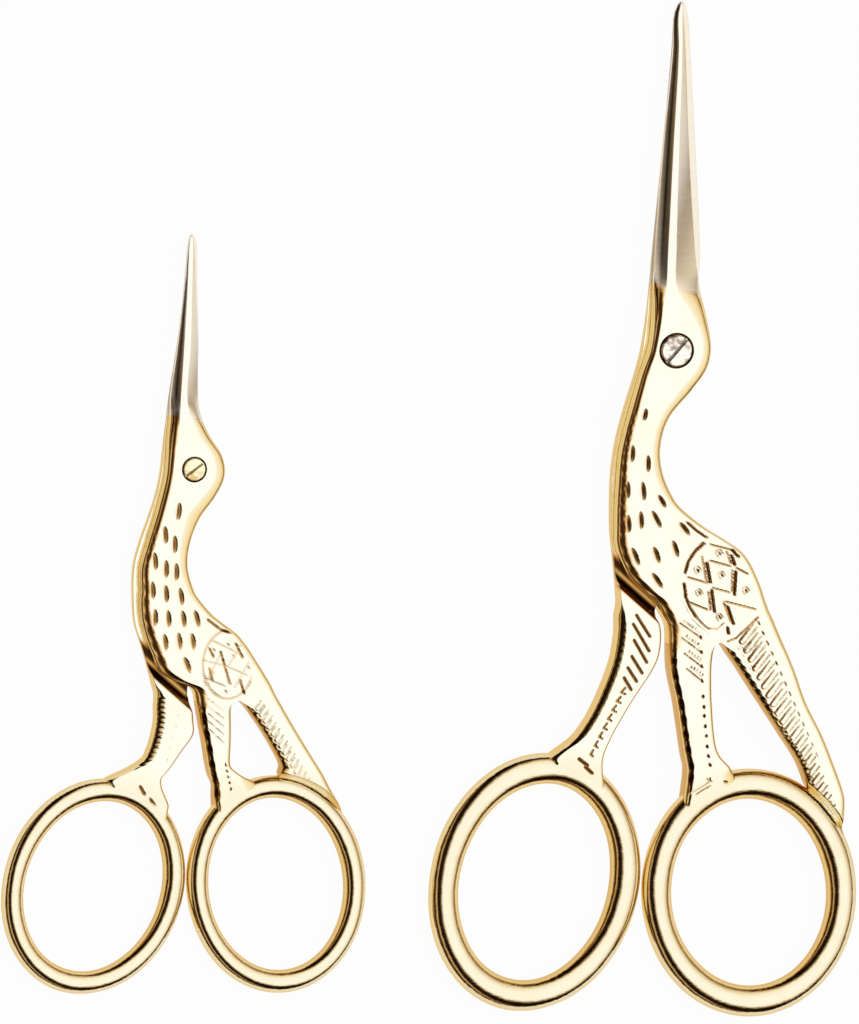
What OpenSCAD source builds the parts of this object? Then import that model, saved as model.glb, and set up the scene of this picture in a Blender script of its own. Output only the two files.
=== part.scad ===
// Stork embroidery scissors: a set of two sizes, lying closed on the table.
// Millimetres, +Z up, blades towards +Y, origin on the table under the middle of the set.

/* [Large pair] */
// Pivot to the tip of the blades
large_blade_length = 43; // [36:0.5:52]
// Pivot to the lowest point of the front finger ring
large_handle_length = 82.9; // [76:0.1:94]
// Thickness of one half where the two halves lie on each other
large_half_thickness = 1.7; // [1.4:0.05:2.2]
// Width of the head at the pivot
large_head_width = 7.9; // [7:0.1:9.5]
// Width of the neck at its narrowest place
large_neck_width = 4.9; // [4:0.1:6]
// Width across the breast and the shoulder
large_body_width = 16.1; // [13.5:0.1:17]
// Width of the front half's leg half way down
large_front_leg_width = 4.4; // [3.4:0.1:5.2]
// Width of the back half's leg half way down
large_back_leg_width = 4.3; // [3.4:0.1:5.2]
// Width of the tail half way down, measured across the pair
large_tail_width = 5.6; // [4.4:0.1:6.6]
// Thickness of the finger ring bands, across the band
large_ring_band = 3.8; // [3:0.1:4.6]
// Inside width of the back half's ring
large_back_hole_width = 19; // [16:0.1:22]
// Inside height of the back half's ring
large_back_hole_height = 24.6; // [21:0.1:28]
// Lean of the back half's ring to the right, degrees
large_back_ring_lean = 15; // [5:1:22]
// Inside width of the front half's ring
large_front_hole_width = 19.8; // [16:0.1:22]
// Inside height of the front half's ring
large_front_hole_height = 23.2; // [20:0.1:27]
// Lean of the front half's ring to the right, degrees
large_front_ring_lean = -6.5; // [-15:0.5:5]
// How much higher the back ring's centre lies than the front ring's
large_ring_step = 2.1; // [0:0.1:3]
// Diameter of the screw head
large_screw_head = 4.2; // [3.4:0.1:5]
// Height of the screw head
large_screw_head_height = 0.85; // [0.6:0.05:1.1]
// Diameter of the screw shank that the front half turns on
large_screw_shank = 2.4; // [1.8:0.1:3]
// Diameter of the screw's threaded end in the back half
large_screw_thread = 1.9; // [1.4:0.1:2.4]
// Direction of the screw slot, degrees from +X
large_slot_angle = 48; // [0:1:180]

/* [Small pair] */
// Pivot to the tip of the blades
small_blade_length = 28.9; // [24:0.1:36]
// Pivot to the lowest point of the front finger ring
small_handle_length = 65.1; // [59:0.1:74]
// Thickness of one half where the two halves lie on each other
small_half_thickness = 1.4; // [1.1:0.05:1.9]
// Width of the head at the pivot
small_head_width = 7.5; // [6.4:0.1:8.6]
// Width of the neck at its narrowest place
small_neck_width = 5.9; // [5:0.1:6.8]
// Width across the breast and the shoulder
small_body_width = 12.8; // [10.8:0.1:13.4]
// Width of the front half's leg half way down
small_front_leg_width = 3.3; // [2.8:0.1:4]
// Width of the back half's leg half way down
small_back_leg_width = 4.2; // [3.4:0.1:5]
// Width of the tail half way down, measured across the pair
small_tail_width = 4.2; // [3.4:0.1:5]
// Thickness of the finger ring bands, across the band
small_ring_band = 2.8; // [2.2:0.1:3.4]
// Inside width of the back half's ring
small_back_hole_width = 17.2; // [14.5:0.1:19.5]
// Inside height of the back half's ring
small_back_hole_height = 21.4; // [19:0.1:24]
// Lean of the back half's ring to the right, degrees
small_back_ring_lean = 20; // [8:1:26]
// Inside width of the front half's ring
small_front_hole_width = 17.1; // [14.5:0.1:19.5]
// Inside height of the front half's ring
small_front_hole_height = 21.4; // [19:0.1:24]
// Lean of the front half's ring to the right, degrees
small_front_ring_lean = -8; // [-15:0.5:5]
// How much higher the back ring's centre lies than the front ring's
small_ring_step = 0.4; // [-1:0.1:2]
// Diameter of the screw head
small_screw_head = 3; // [2.4:0.1:3.8]
// Height of the screw head
small_screw_head_height = 0.7; // [0.5:0.05:0.9]
// Diameter of the screw shank that the front half turns on
small_screw_shank = 1.8; // [1.4:0.1:2.2]
// Diameter of the screw's threaded end in the back half
small_screw_thread = 1.4; // [1:0.1:1.8]
// Direction of the screw slot, degrees from +X
small_slot_angle = 35; // [0:1:180]

/* [Fits and clearances] */
// Air between the two halves where they slide on each other
layer_gap = 0.05; // [0.02:0.01:0.12]
// Radial clearance of the front half on the screw shank
shank_clearance = 0.03; // [0.01:0.01:0.08]
// Clearance round and under the screw head in its recess
head_clearance = 0.04; // [0.02:0.01:0.1]
// Gap between the two finger rings when the pair is closed
ring_gap = 0.15; // [0.05:0.05:0.6]
// How deep the screw head sits in the front half
head_recess = 0.5; // [0.3:0.05:0.6]
// Thickness that the cutting edges keep
edge_land = 0.12; // [0.08:0.01:0.2]

/* [Layout] */
// The small pair's pivot lies this far to the left of the large pair's
pair_distance = 61.2; // [56:0.1:80]
// The small pair's pivot lies this far below the large pair's
pair_drop = 13.1; // [0:0.1:30]

/* [Hidden] */
$fn = 96;
blade_steps = 14;
body_steps = 46;
limb_steps = 16;
ring_steps = 64;
ring_sides = 12;
blade_root = 7.5;      // where the blade's facets start, above the pivot
slot_share = 0.13;     // slot width as a share of the head's diameter
slot_depth_share = 0.5;
head_chamfer = 0.15;
thread_end_rise = 0.1;
ring_inset = 0.04;     // the rings' crowns lie this far inside the plates' faces
limb_inset = 0.02;     // and the limbs' faces this far
flat_cut = 0.06;       // the underside is ground flat this far in
bevel_middle = 0.5;    // a bevel's middle point on the blade, as a share of its slope
bevel_round = 0.2;     // on the body it lies this much nearer the edge, so the bevel is round
bevel_blend = 4;       // height over which the round bevel becomes the flat one
limb_edge = 0.5;       // a limb's edges are rounded by up to this much
corner_share = 0.3;    // middle point of a limb's rounded corner, as a share of its edge
corner_drop = 0.6;
limb_rise = 0.1;       // share of the way down over which a limb reaches its full height
head_reach = 5;        // the head keeps its drawn height this far up and down from the pivot
cutter = 200;

// A pair's sizes under their plain names, so that both pairs share every module.
LARGE = [
    ["blade", large_blade_length],
    ["handle", large_handle_length],
    ["half", large_half_thickness],
    ["band", large_ring_band],
    ["back_ring", [large_back_hole_width, large_back_hole_height, large_back_ring_lean]],
    ["front_ring", [large_front_hole_width, large_front_hole_height, large_front_ring_lean]],
    ["ring_step", large_ring_step],
    ["screw_head", large_screw_head],
    ["screw_head_height", large_screw_head_height],
    ["shank", large_screw_shank],
    ["thread", large_screw_thread],
    ["slot_angle", large_slot_angle],
    // The keys below are drawn by hand for these two lengths and follow the real ones.
    ["drawn_blade", 43],
    ["drawn_reach", 67.5],
    ["ring_line", -4.1],
    // Middle line and width of each plate: height above the pivot, then millimetres across.
    ["front_line", [[-36, 6.4], [-34, 5.85], [-32.5, 5.15], [-31, 4.4], [-29.5, 3.3],
        [-28, 2.25], [-26.5, 1.45], [-25, 0.55], [-23.5, -0.7], [-22, -1.9], [-20, -3.15],
        [-18.5, -3.8], [-15, -4.45], [-12, -4.4], [-8.5, -3.45], [-5, -1.45], [-2.5, -0.15], [0, 0.6],
        [3.5, 0.65], [7.5, 0.3], [12.5, 0.15], [25, 0.3], [37, 0.7], [41.2, 0.65], [43, 0.95]]],
    ["front_width", [[-36, 14.2], [-34, 13.6], [-32.5, 13.6], [-31, 14],
        [-29.5, large_body_width - 0.9], [-28, large_body_width - 0.1],
        [-26.5, large_body_width], [-25, large_body_width - 0.6],
        [-23.5, large_body_width - 2.4], [-22, 11.3], [-20, 8.75], [-18.5, 7.35],
        [-15, large_neck_width + 0.7], [-11, large_neck_width], [-8, large_neck_width + 0.4],
        [-5, 7.1], [-2.5, large_head_width + 0.3], [0, large_head_width],
        [3.5, large_head_width - 0.9], [7.5, 6.1], [12.5, 5.2], [25, 3.4], [37, 1.7],
        [41.2, 1.3], [43, 0.55]]],
    ["back_line", [[-33, -4.7], [-30, -4.4], [-26, -4.2], [-22, -4.4], [-18, -4.7], [-15, -5],
        [-12, -4.85], [-8.5, -3.9], [-5, -1.9], [-2.5, -0.6], [0, 0.1], [3.5, 0.25], [7.5, 0.1],
        [12.5, 0.4], [25, 0.75], [37, 1], [41.2, 1], [43, 1.2]]],
    ["back_width", [[-33, 4.6], [-30, 5.4], [-26, 6.5], [-22, 6.9], [-18, 6.3], [-15, 5.4],
        [-12, large_neck_width], [-8.5, large_neck_width + 0.2], [-5, 6.9],
        [-2.5, large_head_width], [0, large_head_width + 0.1], [3.5, large_head_width - 0.6],
        [7.5, 6.4], [12.5, 6.1], [25, 4.2], [37, 2.4], [41.2, 1.8], [43, 0.6]]],
    // Bevels of each plate: width of the slope at the left and right edge, and how much of
    // the plate's thickness stands as a wall below it.
    ["front_left", [[-36, 0.5], [-10, 0.5], [0, 0.45], [2.5, 0.5], [5, 1], [7.5, 1.45],
        [12.5, 1.4], [25, 1.05], [37, 0.5], [43, 0.12]]],
    ["front_right", [[-36, 0.8], [-24, 0.7], [-16, 1.15], [-12, 1.1], [-8, 1.3], [-5, 1.8],
        [-2.5, 1.5], [0, 1.2], [2.5, 1.4], [5, 2.2], [7.5, 3.3], [12.5, 2.8], [25, 1.6],
        [37, 0.65], [43, 0.15]]],
    ["back_left", [[-33, 0.5], [0, 0.5], [2.5, 0.8], [5, 1.8], [7.5, 3], [12.5, 2.9], [25, 2],
        [37, 1], [43, 0.15]]],
    ["back_right", [[-33, 0.5], [0, 0.5], [2.5, 0.6], [5, 1], [7.5, 1.4], [12.5, 1.3], [25, 1],
        [37, 0.5], [43, 0.12]]],
    ["thickness", [[-36, 1], [12.5, 1], [25, 0.88], [37, 0.62], [43, 0.35]]],
    ["spine_wall", [[-36, 0.68], [2.5, 0.68], [7.5, 0.5], [12.5, 0.38], [43, 0.38]]],
    ["edge_wall", [[-36, 0.62], [0, 0.62], [2.5, 0.5], [5, 0.3], [8.5, 0], [43, 0]]],
    // Each limb runs from its hip to a place on its ring, bows to the right by the keyed
    // millimetres and has the keyed widths: share of the way down, then millimetres.
    ["front_hip", [2.2, -31.5]],
    ["front_foot_angle", 115],
    ["front_bow", [[0, 0], [0.2, -0.35], [0.33, -0.6], [0.5, -0.35], [0.7, 0], [0.77, 0.35],
        [0.84, 1.1], [1, 1]]],
    ["front_leg", [[0, 5.8], [0.2, 5.6], [0.35, 5.1], [0.5, large_front_leg_width],
        [0.7, large_front_leg_width - 0.3], [0.77, large_front_leg_width], [0.84, 5.5], [1, 7]]],
    ["tail_hip", [8.8, -31.5]],
    ["tail_foot_angle", 30],
    ["tail_bow", [[0, 0], [0.16, -0.7], [0.3, -0.1], [0.45, 0.5], [0.59, 1.35], [0.72, 1.9],
        [0.86, 1.8], [0.94, 1], [1, 0.2]]],
    ["tail", [[0, 5.3], [0.16, 7.5], [0.3, large_tail_width + 1.2], [0.45, large_tail_width],
        [0.59, large_tail_width - 0.6], [0.72, large_tail_width - 1.4],
        [0.94, large_tail_width - 1.4], [1, 3.4]]],
    ["back_hip", [-6.9, -29.6]],
    ["back_foot_angle", 65],
    ["back_bow", [[0, 0], [0.06, 1.1], [0.12, 2.2], [0.2, 2.85], [0.33, 2.85], [0.41, 2.3],
        [0.49, 1.45], [0.57, 0.55], [0.65, -0.4], [0.73, -1.5], [0.84, -3.4], [1, -2.5]]],
    ["back_leg", [[0, 0.8], [0.06, 2.7], [0.12, 4.6], [0.2, 5.4], [0.33, 5.6], [0.41, 5.3],
        [0.49, 4.75], [0.57, large_back_leg_width], [0.65, large_back_leg_width - 0.1],
        [0.73, large_back_leg_width + 0.3], [0.84, 6.8], [1, 6]]]
];
SMALL = [
    ["blade", small_blade_length],
    ["handle", small_handle_length],
    ["half", small_half_thickness],
    ["band", small_ring_band],
    ["back_ring", [small_back_hole_width, small_back_hole_height, small_back_ring_lean]],
    ["front_ring", [small_front_hole_width, small_front_hole_height, small_front_ring_lean]],
    ["ring_step", small_ring_step],
    ["screw_head", small_screw_head],
    ["screw_head_height", small_screw_head_height],
    ["shank", small_screw_shank],
    ["thread", small_screw_thread],
    ["slot_angle", small_slot_angle],
    ["drawn_blade", 28.9],
    ["drawn_reach", 51.6],
    ["ring_line", -0.8],
    ["front_line", [[-28.6, 5.65], [-27, 4.8], [-26, 3.35], [-25, 2.3], [-24, 1.65],
        [-23, 1.15], [-22, 0.6], [-20.5, -0.3], [-19, -1.45], [-18, -2.15], [-16, -3.05],
        [-15, -3.3], [-12, -3.7], [-9, -3.1], [-6, -2], [-3.5, -0.7], [-1, 0.2], [1.5, 0.2],
        [4, -0.5], [6.5, -0.9], [9, -1], [15, -0.55], [22, -0.25], [27.8, -0.1], [28.9, -0.05]]],
    ["front_width", [[-28.6, 10.3], [-27, 10.2], [-26, 11.9], [-25, small_body_width],
        [-24, small_body_width], [-23, small_body_width - 0.25], [-22, small_body_width - 0.5],
        [-20.5, small_body_width - 1.2], [-19, 10.05], [-18, 9], [-16, 7.4],
        [-15, small_neck_width + 0.8], [-12, small_neck_width], [-9, 5.4], [-6, 5.7],
        [-3.5, small_head_width - 0.6], [-1, small_head_width], [1.5, small_head_width - 0.5],
        [4, 5.4], [6.5, 4.1], [9, 3.6], [15, 2.7], [22, 1.6], [27.8, 0.8], [28.9, 0.35]]],
    ["back_line", [[-28, -2.6], [-25, -2.9], [-22, -3.4], [-19, -4.2], [-16, -4.6], [-12, -4.5],
        [-9, -3.8], [-6, -2.6], [-3.5, -1.2], [-1, -0.3], [1.5, -0.2], [4, -0.8], [6.5, -1.1],
        [9, -1.1], [15, -0.5], [22, -0.1], [27.8, 0.2], [28.9, 0.05]]],
    ["back_width", [[-28, 4.2], [-25, 4.9], [-22, 5.6], [-19, 5.9], [-16, small_neck_width - 0.3],
        [-12, small_neck_width - 0.3], [-9, 5.4], [-6, 5.6], [-3.5, small_head_width - 0.8],
        [-1, small_head_width - 0.2], [1.5, small_head_width - 0.6], [4, 5.3], [6.5, 4.2],
        [9, 3.6], [15, 2.8], [22, 1.7], [27.8, 0.9], [28.9, 0.35]]],
    ["front_left", [[-28.6, 0.5], [-4, 0.5], [-1, 0.65], [1.5, 0.85], [4, 1.2], [9, 1.1],
        [15, 0.65], [22, 0.3], [28.9, 0.08]]],
    ["front_right", [[-28.6, 0.7], [-18, 0.9], [-12, 1.1], [-8, 1.5], [-4.7, 2], [-1.3, 1.4],
        [1.5, 1.4], [4.7, 1.5], [9, 1.7], [15, 1.2], [22, 0.7], [28.9, 0.12]]],
    ["back_left", [[-28, 0.5], [1.5, 0.7], [4, 1.4], [9, 1.9], [15, 1.5], [22, 0.8],
        [28.9, 0.12]]],
    ["back_right", [[-28, 0.5], [1.5, 0.6], [9, 0.9], [15, 0.6], [22, 0.3], [28.9, 0.08]]],
    ["thickness", [[-28.6, 1], [9, 1], [15, 0.88], [22, 0.68], [28.9, 0.38]]],
    ["spine_wall", [[-28.6, 0.68], [1.5, 0.68], [4, 0.55], [9, 0.38], [28.9, 0.38]]],
    ["edge_wall", [[-28.6, 0.62], [-1.3, 0.62], [1.5, 0.5], [4, 0.3], [6.5, 0], [28.9, 0]]],
    ["front_hip", [2.4, -26.5]],
    ["front_foot_angle", 118],
    ["front_bow", [[0, 0], [0.23, -0.2], [0.49, -0.4], [0.66, -0.6], [0.7, -0.45], [0.76, 0.1],
        [0.84, 0.9], [1, 1]]],
    ["front_leg", [[0, 4.4], [0.23, small_front_leg_width + 0.7],
        [0.36, small_front_leg_width + 0.4], [0.49, small_front_leg_width],
        [0.66, small_front_leg_width - 0.5], [0.7, small_front_leg_width - 0.3], [0.76, 4],
        [0.84, 5.4], [1, 6]]],
    ["tail_hip", [6.3, -26]],
    ["tail_foot_angle", 45],
    ["tail_bow", [[0, 0], [0.17, 0.4], [0.37, 0.5], [0.56, 0.45], [0.68, 0.3], [0.78, -0.3],
        [1, 0.2]]],
    ["tail", [[0, 5.6], [0.17, 4.7], [0.37, small_tail_width], [0.56, small_tail_width],
        [0.68, small_tail_width + 0.3], [0.78, 5.6], [1, 3.2]]],
    ["back_hip", [-4.7, -25]],
    ["back_foot_angle", 72],
    ["back_bow", [[0, 0], [0.06, 0.7], [0.12, 1.5], [0.18, 2.3], [0.27, 2.5], [0.35, 2.65],
        [0.47, 2.6], [0.59, 1.7], [0.65, 1.1], [0.71, 0], [0.81, -2.1], [1, -0.8]]],
    ["back_leg", [[0, 0.5], [0.06, 1.6], [0.12, 2.85], [0.18, 4.1], [0.27, 4.5], [0.35, 4.6],
        [0.47, 4.95], [0.59, small_back_leg_width], [0.65, small_back_leg_width - 0.1],
        [0.71, 5], [0.81, 7], [1, 6]]]
];

function get(pair, name) = pair[search([name], pair)[0]][1];

// Smooth curve through keys [place, value], sorted by place.
function key_slope(keys, i) =
    let (a = max(i - 1, 0), b = min(i + 1, len(keys) - 1))
    (keys[b][1] - keys[a][1]) / (keys[b][0] - keys[a][0]);
function curve(keys, t) =
    let (last = len(keys) - 2,
         i = max([for (j = [0 : last]) if (j == 0 || keys[j][0] <= t) j]),
         h = keys[i + 1][0] - keys[i][0],
         s = min(max((t - keys[i][0]) / h, 0), 1),
         rise = keys[i + 1][1] - keys[i][1])
    keys[i][1] + rise * s * s * (3 - 2 * s)
        + h * s * (1 - s) * (key_slope(keys, i) * (1 - s) - key_slope(keys, i + 1) * s);
function mix(a, b, s) = a + (b - a) * s;
function turned(p, angle) = [p.x * cos(angle) - p.y * sin(angle), p.x * sin(angle) + p.y * cos(angle)];

// Thickness of a closed pair: two halves and the air between them.
function total(pair) = 2 * get(pair, "half") + layer_gap;

// Finger rings: ellipses that lean, set so that they just miss each other when closed.
function ring_reach(pair, ring, across) =
    let (size = get(pair, ring), a = size[0] / 2 + get(pair, "band"), b = size[1] / 2 + get(pair, "band"))
    across ? norm([a * cos(size[2]), b * sin(size[2])]) : norm([b * cos(size[2]), a * sin(size[2])]);
function reach(pair) = get(pair, "handle") - ring_reach(pair, "front_ring", false);
function ring_centre(pair, ring) =
    ring == "front_ring"
        ? [get(pair, "ring_line") + ring_gap / 2 + ring_reach(pair, ring, true), -reach(pair)]
        : [get(pair, "ring_line") - ring_gap / 2 - ring_reach(pair, ring, true),
           get(pair, "ring_step") - reach(pair)];
function ring_place(pair, ring, angle, out) =
    let (size = get(pair, ring), mid = get(pair, "band") / 2,
         a = size[0] / 2 + mid, b = size[1] / 2 + mid,
         away = [b * cos(angle), a * sin(angle)])
    ring_centre(pair, ring)
        + turned([a * cos(angle), b * sin(angle)] + away / norm(away) * out, -size[2]);

// The keys are drawn at one size; these carry a height to the real lengths and back.
function drawn_up(pair) = (get(pair, "drawn_blade") - head_reach) / (get(pair, "blade") - head_reach);
function drawn_down(pair) = (get(pair, "drawn_reach") - head_reach) / (reach(pair) - head_reach);
function to_drawn(pair, y) =
    y > head_reach ? head_reach + (y - head_reach) * drawn_up(pair)
    : y < -head_reach ? -head_reach + (y + head_reach) * drawn_down(pair) : y;
function to_real(pair, y) =
    y > head_reach ? head_reach + (y - head_reach) / drawn_up(pair)
    : y < -head_reach ? -head_reach + (y + head_reach) / drawn_down(pair) : y;

// One solid through a row of sections, each a list of as many points.
module skin(sections) {
    sides = len(sections[0]);
    rows = len(sections);
    walls = [for (i = [0 : rows - 2], j = [0 : sides - 1])
        let (a = i * sides + j, b = i * sides + (j + 1) % sides)
        each [[a, b, a + sides], [b, b + sides, a + sides]]];
    caps = [[for (j = [sides - 1 : -1 : 0]) j], [for (j = [0 : sides - 1]) (rows - 1) * sides + j]];
    polyhedron([for (section = sections) each section], concat(walls, caps));
}

// A closed ring through sections that come back to the first.
module loop(sections) {
    sides = len(sections[0]);
    rows = len(sections);
    polyhedron([for (section = sections) each section],
        [for (i = [0 : rows - 1], j = [0 : sides - 1])
            let (a = i * sides + j, b = i * sides + (j + 1) % sides,
                 c = ((i + 1) % rows) * sides + j, d = ((i + 1) % rows) * sides + (j + 1) % sides)
            each [[a, b, c], [b, d, c]]]);
}

// Blade, head and body of one half: flat inner face, bevelled outer face.
function plate_section(pair, side, y) =
    let (front = side == "front", u = to_drawn(pair, y),
         middle = curve(get(pair, str(side, "_line")), u),
         width = curve(get(pair, str(side, "_width")), u),
         left = middle - width / 2, right = middle + width / 2,
         thick = get(pair, "half") * curve(get(pair, "thickness"), u),
         spine = thick * curve(get(pair, "spine_wall"), u),
         edge = max(thick * curve(get(pair, "edge_wall"), u), edge_land),
         left_wall = front ? spine : edge, right_wall = front ? edge : spine,
         left_slope = curve(get(pair, str(side, "_left")), u),
         right_slope = curve(get(pair, str(side, "_right")), u),
         round = bevel_middle
             - bevel_round * min(max((blade_root - bevel_blend / 2 - u) / bevel_blend, 0), 1),
         inner = get(pair, "half") + (front ? layer_gap : 0),
         out = front ? 1 : -1)
    [[left, 0], [left, left_wall],
     [left + left_slope * round, mix(thick, left_wall, round)], [left + left_slope, thick],
     [right - right_slope, thick],
     [right - right_slope * round, mix(thick, right_wall, round)], [right, right_wall], [right, 0]]
    * [[1, 0], [0, out]] + [for (k = [0 : 7]) [0, inner]];
function placed(section, y) = [for (p = section) [p.x, y, p.y]];
module plate(pair, side) {
    keys = get(pair, str(side, "_line"));
    tip = get(pair, "blade");
    root = to_real(pair, blade_root);
    end = to_real(pair, keys[0][0]);
    rows = concat([for (i = [0 : blade_steps]) mix(tip, root, i / blade_steps)],
                  [for (i = [1 : body_steps]) mix(root, end, i / body_steps)]);
    section_rows = [for (y = rows) placed(plate_section(pair, side, y), y)];
    skin(side == "front" ? section_rows : [for (r = section_rows) [for (j = [7 : -1 : 0]) r[j]]]);
}

// A leg or the tail: full thickness, round edges, from its hip into its ring.
function limb_section(pair, middle, width, top) =
    let (left = middle - width / 2, right = middle + width / 2, low = limb_inset,
         high = top - limb_inset, e = min(limb_edge, width / 4, top / 5),
         r = corner_share * e, drop = corner_drop * e)
    [[left, low + 2 * e], [left, high - 2 * e], [left + r, high - drop], [left + e, high],
     [right - e, high], [right - r, high - drop], [right, high - 2 * e], [right, low + 2 * e],
     [right - r, low + drop], [right - e, low], [left + e, low], [left + r, low + drop]];
module limb(pair, name, ring, widths, start) {
    drawn_hip = get(pair, str(name, "_hip"));
    hip = [drawn_hip.x, to_real(pair, drawn_hip.y)];
    foot = ring_place(pair, ring, get(pair, str(name, "_foot_angle")), 0);
    difference() {
        skin([for (i = [0 : limb_steps])
            let (s = i / limb_steps, y = mix(hip.y, foot.y, s),
                 middle = mix(hip.x, foot.x, s) + curve(get(pair, str(name, "_bow")), s),
                 rise = min(s / limb_rise, 1))
            placed(limb_section(pair, middle, curve(get(pair, widths), s),
                                mix(start, total(pair), rise)), y)]);
        // The limb ends inside the ring's band, along its middle.
        linear_extrude(cutter, center = true)
            polygon([for (i = [0 : ring_steps - 1]) ring_place(pair, ring, i * 360 / ring_steps, 0)]);
    }
}

module ring(pair, name) {
    crown = (total(pair) / 2 - ring_inset) / cos(180 / ring_sides);
    side = get(pair, "band") / 2 / cos(180 / ring_sides);
    loop([for (i = [0 : ring_steps - 1])
        [for (j = [0 : ring_sides - 1])
            let (turn = (j + 0.5) * 360 / ring_sides,
                 p = ring_place(pair, name, i * 360 / ring_steps, side * cos(turn)))
            [p.x, p.y, total(pair) / 2 + crown * sin(turn)]]]);
}

module table_cut() {
    translate([-cutter / 2, -cutter / 2, flat_cut - cutter]) cube(cutter);
}

module back_half(pair) {
    difference() {
        union() {
            plate(pair, "back");
            limb(pair, "back", "back_ring", "back_leg", get(pair, "half"));
            ring(pair, "back_ring");
        }
        cylinder(d = get(pair, "thread"), h = cutter, center = true);
        table_cut();
    }
}

module front_half(pair) {
    bore = get(pair, "shank") + 2 * shank_clearance;
    recess = get(pair, "screw_head") + 2 * head_clearance;
    difference() {
        union() {
            plate(pair, "front");
            limb(pair, "front", "front_ring", "front_leg", total(pair));
            limb(pair, "tail", "front_ring", "tail", total(pair));
            ring(pair, "front_ring");
        }
        cylinder(d = bore, h = cutter, center = true);
        translate([0, 0, total(pair) - head_recess]) cylinder(d = recess, h = head_recess * 2);
        table_cut();
    }
}

// The screw: threaded end in the back half, plain shank, slotted head in its recess.
module pivot_screw(pair) {
    head = get(pair, "screw_head");
    seat = total(pair) - head_recess + head_clearance;
    crown = seat + get(pair, "screw_head_height");
    slot = head * slot_share;
    depth = get(pair, "screw_head_height") * slot_depth_share;
    difference() {
        union() {
            translate([0, 0, flat_cut + thread_end_rise])
                cylinder(d = get(pair, "thread"), h = get(pair, "half"));
            translate([0, 0, get(pair, "half")])
                cylinder(d = get(pair, "shank"), h = crown - get(pair, "half") - head_chamfer);
            translate([0, 0, seat]) cylinder(d = head, h = crown - seat - head_chamfer);
            translate([0, 0, crown - head_chamfer])
                cylinder(d1 = head, d2 = head - 2 * head_chamfer, h = head_chamfer);
        }
        rotate(get(pair, "slot_angle"))
            translate([-head, -slot / 2, crown - depth]) cube([2 * head, slot, depth * 2]);
    }
}

// The set's extent puts the origin under its middle.
function right_side(pair) = ring_centre(pair, "front_ring").x + ring_reach(pair, "front_ring", true);
function left_side(pair) = ring_centre(pair, "back_ring").x - ring_reach(pair, "back_ring", true);
set_left = left_side(SMALL) - pair_distance;
set_right = right_side(LARGE);
set_top = large_blade_length;
set_bottom = min(-large_handle_length, -small_handle_length - pair_drop);
set_middle = [(set_left + set_right) / 2, (set_top + set_bottom) / 2];
module large_place() { translate([-set_middle.x, -set_middle.y, -flat_cut]) children(); }
module small_place() {
    translate([-pair_distance - set_middle.x, -pair_drop - set_middle.y, -flat_cut]) children();
}

module large_back_half() { color("goldenrod") large_place() back_half(LARGE); }
module large_front_half() { color("gold") large_place() front_half(LARGE); }
module large_pivot_screw() { color("silver") large_place() pivot_screw(LARGE); }
module small_back_half() { color("goldenrod") small_place() back_half(SMALL); }
module small_front_half() { color("gold") small_place() front_half(SMALL); }
module small_pivot_screw() { color("khaki") small_place() pivot_screw(SMALL); }

large_back_half();
large_front_half();
large_pivot_screw();
small_back_half();
small_front_half();
small_pivot_screw();
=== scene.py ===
"""Stork embroidery scissors, a set of two sizes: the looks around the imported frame.

Each half is one closed skin. A cross-section with four rounded or ground corners is carried from
the tip of the blade down to the finger ring, and the chased ornament is cut into its upper face.
Shapes are worked out in millimetres from each pair's pivot, with +Y towards the tip.
"""

import math

import bpy
import numpy as np
from bpy.props import FloatProperty, FloatVectorProperty, PointerProperty
from mathutils import Matrix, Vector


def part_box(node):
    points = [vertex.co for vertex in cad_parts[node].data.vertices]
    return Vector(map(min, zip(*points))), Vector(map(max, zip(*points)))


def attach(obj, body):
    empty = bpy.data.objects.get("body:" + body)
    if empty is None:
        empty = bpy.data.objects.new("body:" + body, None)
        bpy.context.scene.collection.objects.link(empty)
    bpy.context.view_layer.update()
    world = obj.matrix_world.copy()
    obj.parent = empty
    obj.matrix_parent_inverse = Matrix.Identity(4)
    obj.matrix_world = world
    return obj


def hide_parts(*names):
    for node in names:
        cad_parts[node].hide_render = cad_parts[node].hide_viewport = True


bl_info = {
    "name": "Stork Embroidery Scissors",
    "version": (1, 0, 0),
    "blender": (4, 5, 0),
    "location": "3D View > Sidebar > Scissors",
    "description": "Builds the looks of a set of stork embroidery scissors around its packed frame",
    "category": "Object",
}

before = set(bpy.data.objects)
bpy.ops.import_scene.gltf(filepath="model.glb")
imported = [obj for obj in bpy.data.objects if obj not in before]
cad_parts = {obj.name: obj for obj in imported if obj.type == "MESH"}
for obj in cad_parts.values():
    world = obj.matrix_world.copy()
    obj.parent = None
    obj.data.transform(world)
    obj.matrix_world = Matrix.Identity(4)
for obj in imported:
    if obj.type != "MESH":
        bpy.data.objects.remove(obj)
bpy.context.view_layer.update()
MM = 0.001

# Photograph: its size, the scale that the real sizes come from, the large screw's place in it, and
# the degrees by which the camera leans to the left and upwards.
PHOTO_WIDTH, PHOTO_HEIGHT = 859, 1024
PHOTO_SCALE_MM = 0.123
PHOTO_PIVOT_X, PHOTO_PIVOT_Y = 677.5, 351.0
CAMERA_LEFT, CAMERA_UP = 15, 6
SENSOR_MM = 24

# Fits of the solids: air between two halves, what grinding takes off the back half's flat face, air
# between two finger rings, and the depth of the recess under a screw head.
LAYER_GAP = 0.05
FLAT_CUT = 0.06
RING_GAP = 0.15
RECESS_DEPTH = 0.47

# Ornament: the depth at which painted shade starts in a cut, and how much deeper the cut is painted
# fully dark.
CUT_DARK_FROM, CUT_DARK_SPAN = 0.03, 0.17

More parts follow.
